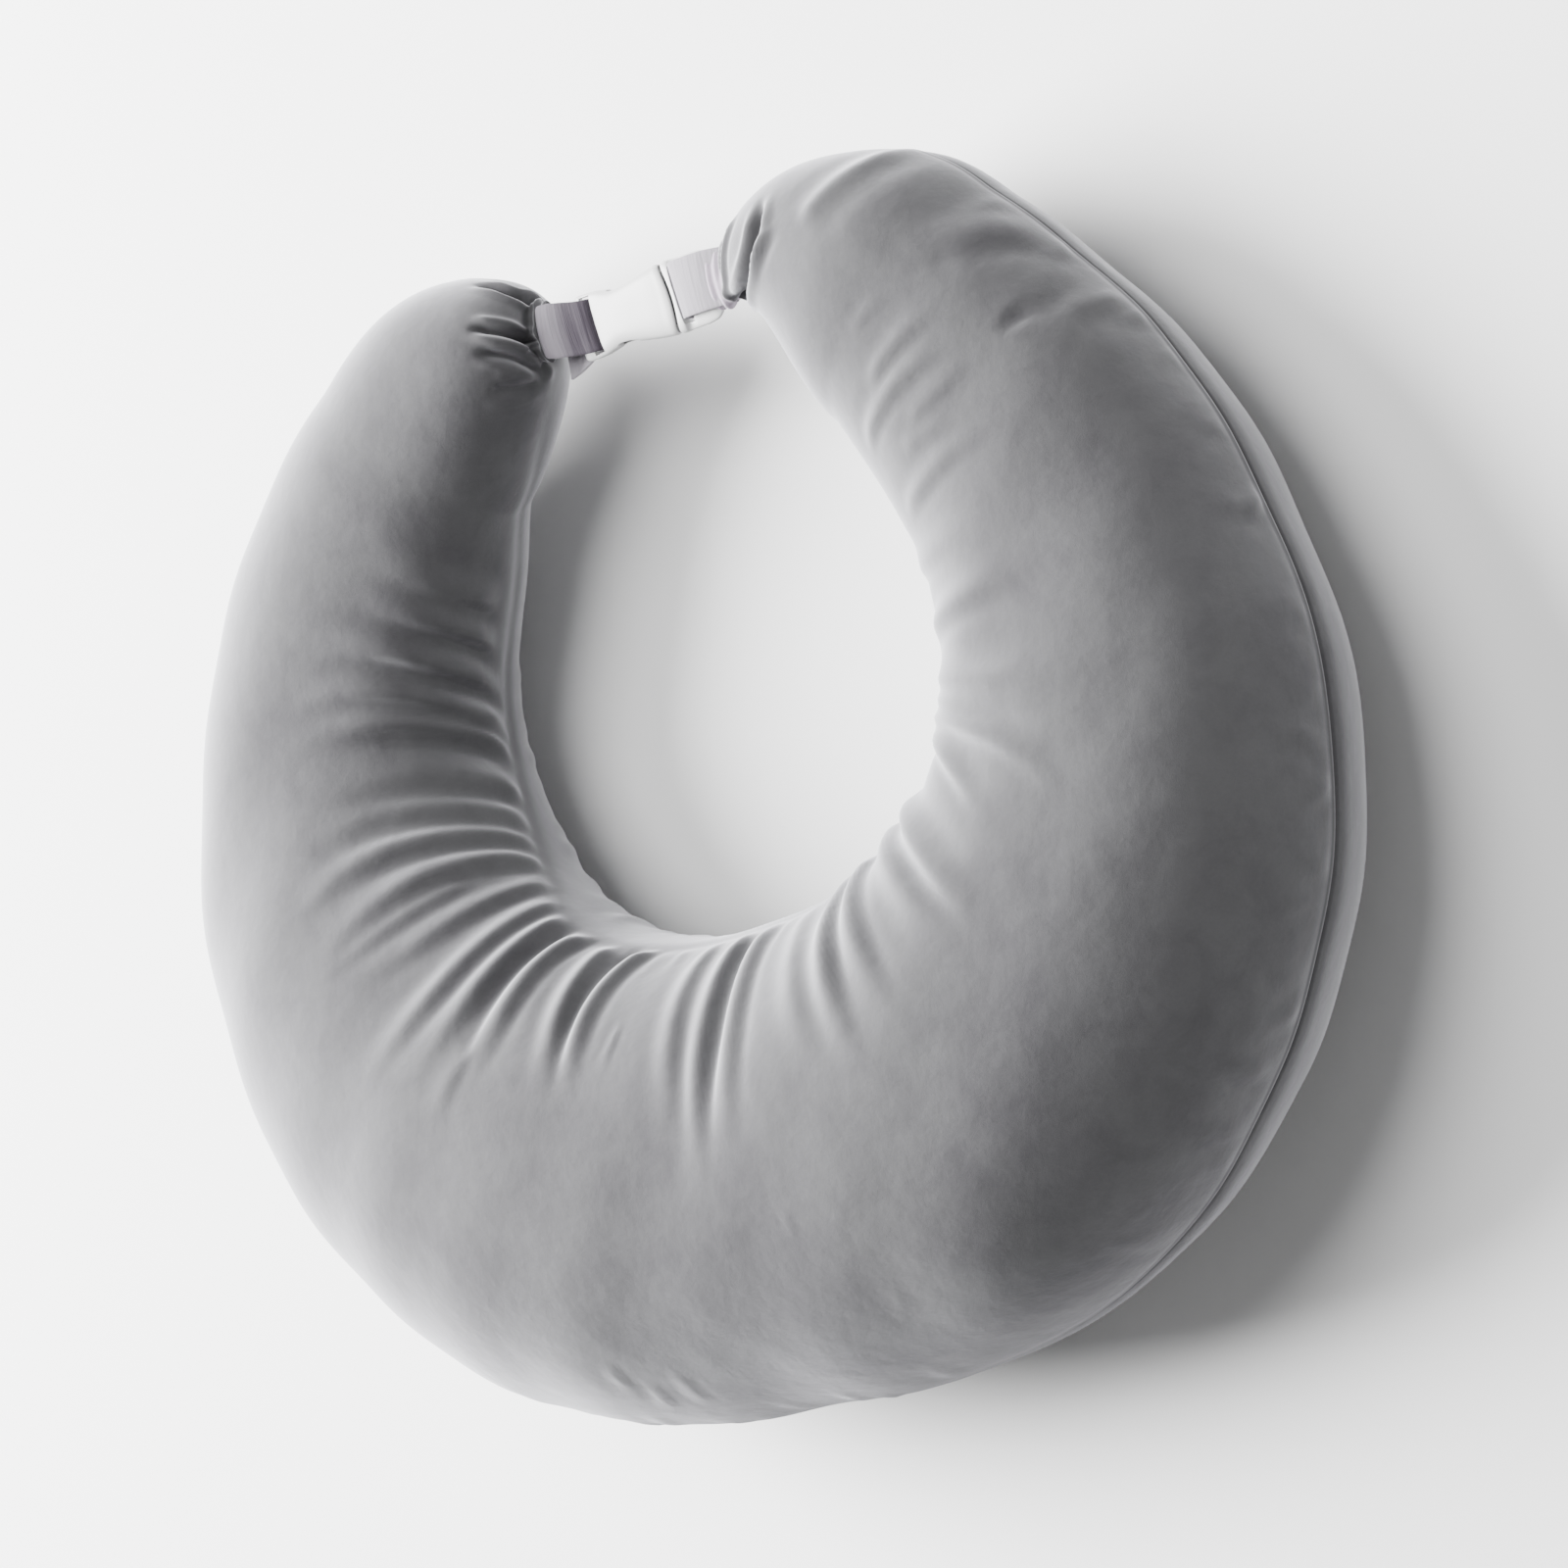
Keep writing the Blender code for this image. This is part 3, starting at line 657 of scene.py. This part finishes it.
def fold_heights(angle, turn, out):
    """How far the folds stand out, in metres; out is the distance from the hole's middle."""
    height = np.zeros_like(angle)
    for rows, sign in ((FOLDS, 1), (HOLLOWS, -1)):
        for first, last, *crest, high, half in rows:
            run = (first - turn) / (first - last)
            on = (run > 0) & (run < 1)
            u = run[on]
            apart = np.radians(angle[on] - along_line(u, crest)) * out[on] * 1000
            lean = FOLD_LEAN * np.sign(apart) * (1 if crest[0] > RIGHT_ARM else -1)
            off = np.abs(apart) / (half * (FOLD_SPREAD[0] + FOLD_SPREAD[1] * u) * (1 + lean))
            rise = FOLD_RISE if LEFT_ARM < crest[0] < RIGHT_ARM else FOLD_RISE_ARMS
            swell = hill(0, rise, FOLD_FADE, 1, u)
            crown = bell(off)
            if sign > 0:
                crown -= FOLD_HOLLOW * bell(off, FOLD_HOLLOW_AT, FOLD_HOLLOW_WIDTH)
            height[on] += sign * high / 1000 * swell * crown
    return height


def gathers(angle, turn, seam, out):
    """Small gathers above and under the inner seam, and soft puckers at the outer one."""
    height = np.zeros_like(angle)
    ways = {"inner": seam - turn, "under": turn - seam, "outer": turn}
    for start, count, first, step, reach, clear, high, half in GATHERS:
        away = ways[start]
        for i in range(count):
            middle = first + step * (i + UNEVEN_STEP * math.sin(2.7 * i + first))
            long = reach * (1 + UNEVEN_REACH * math.sin(1.9 * i + 1.1))
            slant = UNEVEN_SLANT * math.sin(3.3 * i) * away
            apart = np.radians(angle - middle - slant) * out * 1000
            share = away / long
            swell = hill(clear, clear + GATHER_RISE, GATHER_FADE, 1, share)
            swell *= np.abs(apart) < CREASE_REACH * half
            crown = bell(apart, 0, half) - GATHER_HOLLOW * bell(apart, -GATHER_HOLLOW_AT * half, half)
            height += high * (1 + UNEVEN_HEIGHT * math.sin(5.1 * i)) * swell * crown / 1000
    return height


def make_tube(tube, name):
    """A ring spun into a tube with the net's rows and stations, set out on the plain surface."""
    bm = bmesh.new()
    ring = bmesh.ops.create_circle(bm, segments=tube.rows, radius=0.5)["verts"]
    first = math.atan2(ring[0].co.y, ring[0].co.x)
    upright = Matrix.Rotation(math.pi / 2, 3, "X") @ Matrix.Rotation(-first, 3, "Z")
    bmesh.ops.rotate(bm, verts=ring, cent=(0, 0, 0), matrix=upright)
    bmesh.ops.translate(bm, verts=ring, vec=(1, 0, 0))
    sweep = math.radians(300)
    bmesh.ops.spin(bm, geom=ring + list(bm.edges), cent=(0, 0, 0), axis=(0, 0, 1), angle=sweep,
                   steps=tube.stations - 1, use_merge=False, use_duplicate=False)
    bmesh.ops.holes_fill(bm, edges=[edge for edge in bm.edges if edge.is_boundary], sides=0)
    mesh = to_mesh(bm, name)
    x, y, z = read_points(mesh).T
    spun = np.arctan2(y, x) % (2 * math.pi)
    spun[spun > sweep + 0.2] = 0     # a hair before the start reads as nearly a whole turn
    station = np.rint(spun / sweep * (tube.stations - 1)).astype(int)
    row = np.rint(np.arctan2(z, np.hypot(x, y) - 1) % (2 * math.pi) / (2 * math.pi) * tube.rows)
    row = row.astype(int) % tube.rows
    write_points(mesh, tube.points(station.astype(float), tube.turn[station, row]))
    layer = mesh.uv_layers.new(name="net").data
    for face in mesh.polygons:
        wraps = len(face.vertices) == 4 and row[list(face.vertices)].max() == tube.rows - 1
        for corner, vertex in zip(face.loop_indices, face.vertices):
            up = tube.rows if wraps and row[vertex] == 0 else row[vertex]
            layer[corner].uv = (station[vertex] / (tube.stations - 1), up / tube.rows)
    return mesh


def to_mesh(bm, name):
    mesh = bpy.data.meshes.new(name)
    bm.to_mesh(mesh)
    bm.free()
    return mesh


def read_each(items, key, kind=float, width=1):
    """A value of each item of a collection, or a row of width values."""
    values = np.empty(len(items) * width, dtype=kind)
    items.foreach_get(key, values)
    return values.reshape(-1, width) if width > 1 else values


def read_points(mesh):
    return read_each(mesh.vertices, "co", width=3)


def write_points(mesh, co):
    mesh.vertices.foreach_set("co", co.astype(np.float32).ravel())
    mesh.update()


def read_net(mesh):
    """Each vertex's place on the net, from its UVs."""
    net = np.zeros((len(mesh.vertices), 2))
    corner = read_each(mesh.loops, "vertex_index", int)
    net[corner] = read_each(mesh.uv_layers["net"].data, "uv", np.float32, 2)
    return net


def add_shade(mesh, name, values):
    """Keeps a number at each vertex, for the finish to read."""
    layer = mesh.attributes.new(name, "FLOAT", "POINT")
    layer.data.foreach_set("value", np.asarray(values, dtype=np.float32))


def build_object(name, data, *materials):
    made = bpy.data.objects.new(name, data)
    bpy.context.scene.collection.objects.link(made)
    for material in materials:
        data.materials.append(material)
    return made


def apply_modifiers(piece):
    """Turns a piece's modifiers into its mesh."""
    graph = bpy.context.evaluated_depsgraph_get()
    graph.update()
    mesh = bpy.data.meshes.new_from_object(piece.evaluated_get(graph))
    old = piece.data
    piece.modifiers.clear()
    piece.data = mesh
    bpy.data.meshes.remove(old)


def round_edges(piece, width, angle):
    edge = piece.modifiers.new("edges", "BEVEL")
    edge.width = width
    edge.segments = 2
    edge.limit_method = "ANGLE"
    edge.angle_limit = angle
    apply_modifiers(piece)


def smooth_faces(piece, angle):
    """Smooth shading, but for edges sharper than an angle."""
    piece.data.shade_smooth()
    piece.data.set_sharp_from_angle(angle=angle)


def declare(piece, slot, *nodes):
    """Rides the piece on the pillow and hides the nodes that it stands for; the slot, its finish's
    name, is not used.
    """
    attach(piece, "root")
    if nodes:
        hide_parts(*nodes)


# The cover

CLOTH = {
    "vertex_group_mass": "sewn", "quality": 5, "mass": 0.3, "use_pressure": True,
    "uniform_pressure_force": 4, "tension_stiffness": 15, "compression_stiffness": 15,
    "bending_stiffness": 0.5,
}
PRESSURE_FRAMES = 20
PRESSURE_REACH = 0.006       # how far a point of the cover may move
PINNED_FROM = 0.5            # how far a horn end has closed where the cover is pinned from
SLEEVE_AND_HIGHLIGHT_FROM = (0.98, 1.06)   # and between which its pale sleeve colour, partly a painted highlight, starts

# The seams' grooves and the outer one's lip: share of the seam's depth, how far off the seam and how
# wide in mm
OUTER_SEAM = ((0.35, 0.0, 4.5), (0.38, 0.0, 0.9), (-0.24, 2.2, 1.0))
INNER_SEAM_GROOVE = (0.26, 0.0, 5.0)
OUTER_CLOSE = (0.25, 0.8)    # how far a horn end has closed where a seam starts to fade, and ends
INNER_CLOSE = (0.3, 0.9)
LUMP_HEIGHT = 0.0007


class PILLOW_OT_cover(bpy.types.Operator):
    """Makes the stuffed velvet cover with its seams, gathers and folds"""

    bl_idname = "pillow.cover"
    bl_label = "Velvet cover"

    def execute(self, context):
        settings = context.scene.pillow_cover
        tube = Tube(settings.rows, settings.rows_under)
        mesh = make_tube(tube, "cover")
        cover = build_object("pillow_cover", mesh, velvet(settings))
        self.inflate(cover, tube)
        smooth = cover.modifiers.new("rounding", "SUBSURF")
        smooth.levels = smooth.render_levels = 1
        smooth.uv_smooth = "NONE"
        apply_modifiers(cover)
        self.fold(cover.data, tube, settings)
        cover.data.shade_smooth()
        declare(cover, "velvet", "pillow")
        return {"FINISHED"}

    def inflate(self, cover, tube):
        """Blows the cover up between its seams with Cloth, and keeps the result."""
        before = read_points(cover.data)
        uv = read_net(cover.data)
        row = np.rint(uv[:, 1] * tube.rows) % tube.rows
        middle = tube.stations // 2
        seam_row = int(np.argmin(np.abs(tube.turn[middle] - tube.column["seam"][middle])))
        closed = tube.at("closed", uv[:, 0] * (tube.stations - 1))
        held = (row == 0) | (row == seam_row) | (closed > PINNED_FROM)
        group = cover.vertex_groups.new(name=CLOTH["vertex_group_mass"])
        group.add([int(i) for i in np.where(held)[0]], 1.0, "REPLACE")
        cloth = cover.modifiers.new("stuffing", "CLOTH")
        for key, value in CLOTH.items():
            setattr(cloth.settings, key, value)
        cloth.settings.effector_weights.gravity = 0
        cloth.collision_settings.use_collision = False
        cloth.point_cache.frame_start = 1
        cloth.point_cache.frame_end = PRESSURE_FRAMES
        scene = bpy.context.scene
        for step in range(1, PRESSURE_FRAMES + 1):
            scene.frame_set(step)
        apply_modifiers(cover)
        scene.frame_set(1)
        moved = read_points(cover.data) - before
        length = np.linalg.norm(moved, axis=1, keepdims=True)
        moved *= np.minimum(1, PRESSURE_REACH / np.maximum(length, 1e-9))
        write_points(cover.data, before + moved)

    def fold(self, mesh, tube, settings):
        """Raises the folds and sinks the seams along the net of the cover."""
        net = read_net(mesh)
        station = net[:, 0] * (tube.stations - 1)
        turn = tube.turn_at(station, net[:, 1] * tube.rows)
        angle = tube.at("angle", station)
        closed = tube.at("closed", station)
        seam = tube.at("seam", station)
        co = read_points(mesh)
        normal = read_each(mesh.vertex_normals, "vector", width=3)
        out = np.hypot(co[:, 0] - HOLE_X, co[:, 1] - HOLE_Y)
        raised = fold_heights(angle, turn, out) * settings.fold_strength
        raised += gathers(angle, turn, seam, out)
        raised += self.seams(turn, seam, closed, tube.at("width", station), settings)
        raised += self.lumps(co)
        raised += crease_heights(co, tube)
        neck = np.clip(closed - 1, 0, 1)
        raised -= NECK_RIB_HEIGHT * (1 - np.cos(2 * math.pi * NECK_RIBS * neck))
        raised -= NECK_GROOVE * bell(closed, 1.0, NECK_GROOVE_WIDTH)
        # The pale sleeve colour at the right horn's neck, partly a painted highlight.
        add_shade(mesh, "sleeve", ease(*SLEEVE_AND_HIGHLIGHT_FROM, closed) * (co[:, 0] > HOLE_X))
        co += normal * raised[:, None]
        co[:, 2] = rest(co[:, 2], FOLD_REST_SOFTNESS)
        write_points(mesh, co)

    def seams(self, turn, seam, closed, width, settings):
        """The two seams: a drawn-in line with a fine ridge of turned-in cloth beside it."""
        outer = np.radians((turn + 180) % 360 - 180) * width * 1000
        inner = np.radians(turn - seam) * width * 1000
        sunk = sum(share * bell(outer, at, wide) for share, at, wide in OUTER_SEAM)
        sunk *= 1 - ease(*OUTER_CLOSE, closed)
        share, at, wide = INNER_SEAM_GROOVE
        sunk += share * bell(inner, at, wide) * (1 - ease(*INNER_CLOSE, closed))
        return -settings.seam_depth * sunk

    def lumps(self, co):
        """Slow unevenness of the filling."""
        x, y, z = co.T
        slow = np.sin(61 * x + 23 * y + 1.3) * np.sin(52 * y - 31 * z + 0.4)
        return LUMP_HEIGHT * (slow + np.sin(97 * x - 71 * y + 2.1) * 0.5)


# The straps

# Path of each strap round its bar, seen from the side, in mm: x from the hole, z from the strap's
# height, half width, middle across, and crown of the webbing across its width
STRAPS = {
    "strap_left": (
        (-41.2, 1.6, 7.4, 156.2, 0.8),
        (-40, 4.6, 9, 156.1, 1.4),
        (-37.6, 6.3, 10.2, 155.8, 1.8),
        (-33.5, 6.6, 10.7, 155.2, 1.6),
        (-28, 5.8, 10.8, 154.3, 1.2),
        (-22.8, 4.2, 10.6, 153.4, 0.8),
        (-19, 3.4, 10.4, 153, 0.5),
        (-16.4, 1.8, 10.3, 153, 0.2),
        (-16, -0.8, 10.3, 153, 0),
        (-17.5, -3, 10.2, 153, 0),
        (-22.8, -4, 10, 152.6, 0),
        (-28, -5.2, 10, 150.6, -0.4),
        (-34, -6.4, 10, 148.4, -0.8),
        (-40, -6.8, 10, 147, -1),
    ),
    "strap_right": (
        (52, 1.4, 10.8, 154.2, 0),
        (46, 2.8, 11.2, 154.4, 0.4),
        (40, 4, 11.3, 154.5, 0.6),
        (35, 4.3, 11.3, 154.5, 0.6),
        (30.4, 4, 11.2, 154.5, 0.4),
        (27.6, 3.1, 11.1, 154.4, 0.2),
        (26.6, 1, 11, 154.3, 0),
        (27.1, -1.4, 11, 154.3, 0),
        (29, -3.2, 11, 154.3, 0),
        (33, -4, 11, 154.3, 0),
        (39, -3.6, 11, 154.3, 0),
        (45, -2.4, 10.9, 154.2, 0),
        (52, -1, 10.8, 154.2, 0),
    ),
}
SLANT = 0.10                 # how far the ends of the buckle and its webbing lean, per metre across
SLANT_BETWEEN = (0.035, 0.028)       # x from the hole between which that lean sets in
STRAP_STEPS = 128
STRAP_LANES = 16
STRAP_EDGE = 0.0004
STRAP_EDGE_ANGLE = math.radians(30)
STRAP_SHARP = math.radians(50)
PAINTED_SHADE_BETWEEN = (-0.0330, -0.0225)     # x from the hole between which the painted shade on the left strap's top deepens
PAINTED_SHADE_LEFT = (0.84, 0.24)      # how much painted shade it has before that, and how much that adds
# painted shade laid evenly over the right strap
PAINTED_SHADE_RIGHT = 0.34


class PILLOW_OT_straps(bpy.types.Operator):
    """Makes the two webbing straps, each folded round its bar of the buckle"""

    bl_idname = "pillow.straps"
    bl_label = "Webbing straps"

    def execute(self, context):
        settings = context.scene.pillow_straps
        finish = webbing(settings)
        for name, rows in STRAPS.items():
            self.strap(name, rows, settings, finish)
        return {"FINISHED"}

    def strap(self, name, rows, settings, finish):
        path = smooth_line(rows, STRAP_STEPS + 1)[1] / 1000
        steps = np.linalg.norm(np.diff(path[:, :2], axis=0), axis=1)
        length = np.concatenate(([0], np.cumsum(steps)))
        bm = bmesh.new()
        bmesh.ops.create_grid(bm, x_segments=STRAP_STEPS, y_segments=STRAP_LANES, size=0.5,
                              calc_uvs=False)
        uv = bm.loops.layers.uv.new("cloth")
        where = {}
        for vert in bm.verts:
            step = round((vert.co.x + 0.5) * STRAP_STEPS)
            side = vert.co.y * 2
            x, z, half, middle, crown = path[step]
            where[vert] = (length[step], side * half)
            bent = crown * (1 - side * side)
            x -= SLANT * side * half * float(ease(*SLANT_BETWEEN, abs(x)))
            vert.co = (HOLE_X + x, HOLE_Y + middle + side * half, STRAP_Z + z + bent)
        for face in bm.faces:
            for loop in face.loops:
                loop[uv].uv = where[loop.vert]
        piece = build_object("webbing_" + name.split("_")[1], to_mesh(bm, name), finish)
        thick = piece.modifiers.new("thickness", "SOLIDIFY")
        thick.thickness = settings.thickness
        thick.offset = 0
        round_edges(piece, STRAP_EDGE, STRAP_EDGE_ANGLE)
        smooth_faces(piece, STRAP_SHARP)
        x, _, z = (read_points(piece.data) - (HOLE_X, HOLE_Y, STRAP_Z)).T
        # Painted shade: the left strap's upper layer darkens towards the buckle, its lower layer gets
        # none, and the right strap gets an even light dose.
        painted_shade = PAINTED_SHADE_LEFT[0] + PAINTED_SHADE_LEFT[1] * ease(*PAINTED_SHADE_BETWEEN, x)
        add_shade(piece.data, "painted_shade", np.where(x > 0, PAINTED_SHADE_RIGHT, painted_shade * (z > 0)))
        declare(piece, "webbing", name)


# The buckle

# Its two halves, in mm: place along its length from the hole's middle, half width, half thickness
SOCKET = (
    (-25.2, 10, 0.6),
    (-24.4, 12.1, 1.3),
    (-23, 12.7, 1.6),
    (-20, 12.8, 1.8),
    (-14, 12.6, 3),
    (-4, 11, 4),
    (8, 12.5, 4.3),
    (16.5, 13.9, 4.2),
    (19.8, 14.1, 4),
    (20.6, 13.9, 3.7),
    (20.9, 13.5, 3.2),
)
PLUG = (
    (21.8, 13.6, 3.1),
    (22.2, 14.1, 3.6),
    (23.4, 14.4, 3.8),
    (25.4, 14.4, 3.6),
    (26.4, 14.4, 2.4),
    (27.5, 14.3, 1.8),
    (33, 14.2, 1.8),
    (39, 14, 1.8),
    (43, 13, 1.6),
    (44.6, 11.6, 1.2),
    (45.1, 10.4, 0.6),
)
SHELL_STEPS = 72
SHELL_POINTS = 48
ROUNDNESS = 2.9              # power of the superellipse of its sections
# The sections bow towards the right, as the mouth does: where that starts, is full, fades and ends
BOWED_BETWEEN = (0.0100, 0.0209, 0.0250, 0.0300)
MOUTH_BOW = 0.0026
MOUTH_HALF_WIDTH = 0.0144
MOULD_EDGE = 0.00035
MOULD_SHARP = math.radians(38)
MOULD_EDGE_ANGLE = math.radians(50)

# What is cut out of the halves and joined to them: first and last x, half width or inner and outer
# y, and half thickness
SLOT_HALF_WIDTH = 0.0116
SOCKET_SLOT = (-0.0205, -0.0150)
PLUG_SLOT = (0.0262, 0.0305)
CAVITY = (-0.0060, 0.0260, 0.0106, 0.0023)
WINDOW = (-0.0070, 0.0036, 0.0200, 0.0021)
PRONG = (-0.0050, 0.0240, 0.0070, 0.0102, 0.0019)
GUIDE = (0.0000, 0.0240, 0.0022, 0.0019)
CUT_REACH = 0.0200


def shell(name, rows, parting):
    """A smooth moulded body along x, whose sections are superellipses. Parting is the number of the
    section that meets the other half."""
    path = smooth_line(rows, SHELL_STEPS + 1)[1] / 1000
    bm = bmesh.new()
    loops = []
    for x, width, thick in path:
        ring = bmesh.ops.create_circle(bm, segments=SHELL_POINTS, radius=1)["verts"]
        bowed = float(hill(*BOWED_BETWEEN, x))
        for index, vert in enumerate(ring):
            rad = 2 * math.pi * index / SHELL_POINTS
            c, s = math.cos(rad), math.sin(rad)
            y = width * math.copysign(abs(c) ** (2 / ROUNDNESS), c)
            z = thick * math.copysign(abs(s) ** (2 / ROUNDNESS), s)
            bow = MOUTH_BOW * (1 - (y / MOUTH_HALF_WIDTH) ** 2) - SLANT * y
            vert.co = (HOLE_X + x + bow * bowed, HOLE_Y + BUCKLE_Y + y, STRAP_Z + z)
        loops.append({edge for vert in ring for edge in vert.link_edges})
    for first, second in zip(loops, loops[1:]):
        bmesh.ops.bridge_loops(bm, edges=list(first | second))
    bmesh.ops.holes_fill(bm, edges=[edge for edge in bm.edges if edge.is_boundary], sides=0)
    bmesh.ops.recalc_face_normals(bm, faces=bm.faces)
    mesh = to_mesh(bm, name)
    # The ring at the parting line is marked for the painted shade there.
    add_shade(mesh, "parting", np.repeat(np.arange(SHELL_STEPS + 1), SHELL_POINTS) == parting)
    return mesh


def block(x, y, half_thick, slant=0.0):
    """A guide block for cutting or joining; x and y are its ranges, from the buckle's middle."""
    bm = bmesh.new()
    bmesh.ops.create_cube(bm, size=1)
    bmesh.ops.scale(bm, vec=(x[1] - x[0], y[1] - y[0], 2 * half_thick), verts=bm.verts)
    for vert in bm.verts:
        vert.co.x -= slant * vert.co.y
    middle = (HOLE_X + sum(x) / 2, HOLE_Y + BUCKLE_Y + sum(y) / 2, STRAP_Z)
    bmesh.ops.translate(bm, vec=middle, verts=bm.verts)
    return build_object("block", to_mesh(bm, "block"))


def carve(piece, tools):
    """Cuts or joins each tool, then rounds the edges that this leaves."""
    for tool, operation in tools:
        step = piece.modifiers.new("cut", "BOOLEAN")
        step.operation = operation
        step.solver = "EXACT"
        step.object = tool
    round_edges(piece, MOULD_EDGE, MOULD_EDGE_ANGLE)
    for tool, _ in tools:
        mesh = tool.data
        bpy.data.objects.remove(tool)
        bpy.data.meshes.remove(mesh)


class PILLOW_OT_buckle(bpy.types.Operator):
    """Makes the two moulded halves of the side-release buckle"""

    bl_idname = "pillow.buckle"
    bl_label = "Buckle"

    def execute(self, context):
        finish = plastic(context.scene.pillow_buckle)
        across = (-SLOT_HALF_WIDTH, SLOT_HALF_WIDTH)
        socket = build_object("buckle_shell", shell("buckle_shell", SOCKET, SHELL_STEPS), finish)
        left, right, half_width, half_thick = CAVITY
        first, last, reach, window = WINDOW
        carve(socket, (
            (block(SOCKET_SLOT, across, CUT_REACH, SLANT), "DIFFERENCE"),
            (block((left, right), (-half_width, half_width), half_thick), "DIFFERENCE"),
            (block((first, last), (-reach, reach), window), "DIFFERENCE"),
        ))
        plug = build_object("buckle_clip", shell("buckle_clip", PLUG, 0), finish)
        tip, root, inner, outer, prong = PRONG
        carve(plug, (
            (block(PLUG_SLOT, across, CUT_REACH, SLANT), "DIFFERENCE"),
            (block((tip, root), (inner, outer), prong), "UNION"),
            (block((tip, root), (-outer, -inner), prong), "UNION"),
            (block(GUIDE[:2], (-GUIDE[2], GUIDE[2]), GUIDE[3]), "UNION"),
        ))
        for piece, node in ((socket, "buckle_socket"), (plug, "buckle_plug")):
            smooth_faces(piece, MOULD_SHARP)
            declare(piece, "buckle_plastic", node)
        return {"FINISHED"}


# The stage

# Name of each light, direction from the pillow's middle, distance, size and power
LIGHTS = (
    ("key", (-0.79, 0.29, 0.53), 2.6, 2.1, 590),
    ("top", (-0.05, 0.38, 0.92), 2.8, 2.0, 90),
    ("edge", (0.93, 0.10, 0.30), 2.8, 1.6, 14),
)
LIT_MIDDLE = Vector((0, 0, 0.08))
WORLD_STRENGTH = 0.20
FLOOR_REACH = 6
SENSOR_WIDTH = 36
NEAR_AND_FAR = (0.05, 50)    # what the camera sees lies between these


class PILLOW_OT_stage(bpy.types.Operator):
    """Sets up the camera, the pale floor and the soft studio lights"""

    bl_idname = "pillow.stage"
    bl_label = "Studio stage"

    def execute(self, context):
        settings = context.scene.pillow_stage
        self.camera(context, settings)
        self.floor(settings)
        self.lights()
        return {"FINISHED"}

    def camera(self, context, settings):
        tilt, heading, roll = settings.tilt, settings.heading, settings.roll
        back = Vector((math.sin(tilt) * math.cos(heading), math.sin(tilt) * math.sin(heading),
                       math.cos(tilt)))
        level = Vector((0, 1, 0)).cross(back).normalized()
        steep = back.cross(level)
        right = math.cos(roll) * level + math.sin(roll) * steep
        up = -math.sin(roll) * level + math.cos(roll) * steep
        data = bpy.data.cameras.new("camera")
        data.lens = settings.lens
        data.sensor_width = SENSOR_WIDTH
        data.clip_start, data.clip_end = NEAR_AND_FAR
        camera = build_object("camera", data)
        camera.matrix_world = Matrix((right, up, back)).transposed().to_4x4()
        camera.location = (back * settings.distance + right * settings.aside[0]
                           + up * settings.aside[1] + Vector((HOLE_X, HOLE_Y, 0)))
        context.scene.camera = camera

    def floor(self, settings):
        bm = bmesh.new()
        bmesh.ops.create_grid(bm, x_segments=2, y_segments=2, size=FLOOR_REACH)
        made = Finish("floor_paint", settings.floor_colour, 0.9, Specular_IOR_Level=0.1)
        build_object("floor", to_mesh(bm, "floor"), made.material)

    def lights(self):
        for name, way, distance, size, power in LIGHTS:
            data = bpy.data.lights.new(name, "AREA")
            data.shape = "DISK"
            data.size = size
            data.energy = power
            light = build_object(name, data)
            toward = Vector(way).normalized()
            light.location = LIT_MIDDLE + toward * distance
            light.rotation_euler = toward.to_track_quat("Z", "Y").to_euler()
        world = bpy.data.worlds.new("studio")
        world.use_nodes = True
        background = world.node_tree.nodes["Background"]
        background.inputs["Color"].default_value = (1, 1, 1, 1)
        background.inputs["Strength"].default_value = WORLD_STRENGTH
        bpy.context.scene.world = world


# Panel and start

class PILLOW_PT_panel(bpy.types.Panel):
    """Lists the pillow's pieces and their settings"""

    bl_idname = "PILLOW_PT_panel"
    bl_label = "Reading pillow"
    bl_space_type = "VIEW_3D"
    bl_region_type = "UI"
    bl_category = "Pillow"

    def draw(self, context):
        for operator, group in PIECES:
            box = self.layout.box()
            box.operator(operator.bl_idname)
            settings = getattr(context.scene, group)
            for key in settings.bl_rna.properties.keys():
                if key not in ("rna_type", "name"):
                    box.prop(settings, key)


PIECES = (
    (PILLOW_OT_stage, "pillow_stage"),
    (PILLOW_OT_cover, "pillow_cover"),
    (PILLOW_OT_straps, "pillow_straps"),
    (PILLOW_OT_buckle, "pillow_buckle"),
)
GROUPS = {
    "pillow_stage": PillowStageSettings,
    "pillow_cover": PillowCoverSettings,
    "pillow_straps": PillowStrapSettings,
    "pillow_buckle": PillowBuckleSettings,
}
CLASSES = (*GROUPS.values(), *(operator for operator, _ in PIECES), PILLOW_PT_panel)


def register():
    for item in CLASSES:
        bpy.utils.register_class(item)
    for name, group in GROUPS.items():
        setattr(bpy.types.Scene, name, PointerProperty(type=group))


def unregister():
    for name in GROUPS:
        delattr(bpy.types.Scene, name)
    for item in reversed(CLASSES):
        bpy.utils.unregister_class(item)


def main():
    register()
    bpy.ops.pillow.stage()
    bpy.ops.pillow.cover()
    bpy.ops.pillow.straps()
    bpy.ops.pillow.buckle()


if __name__ == "__main__":
    main()
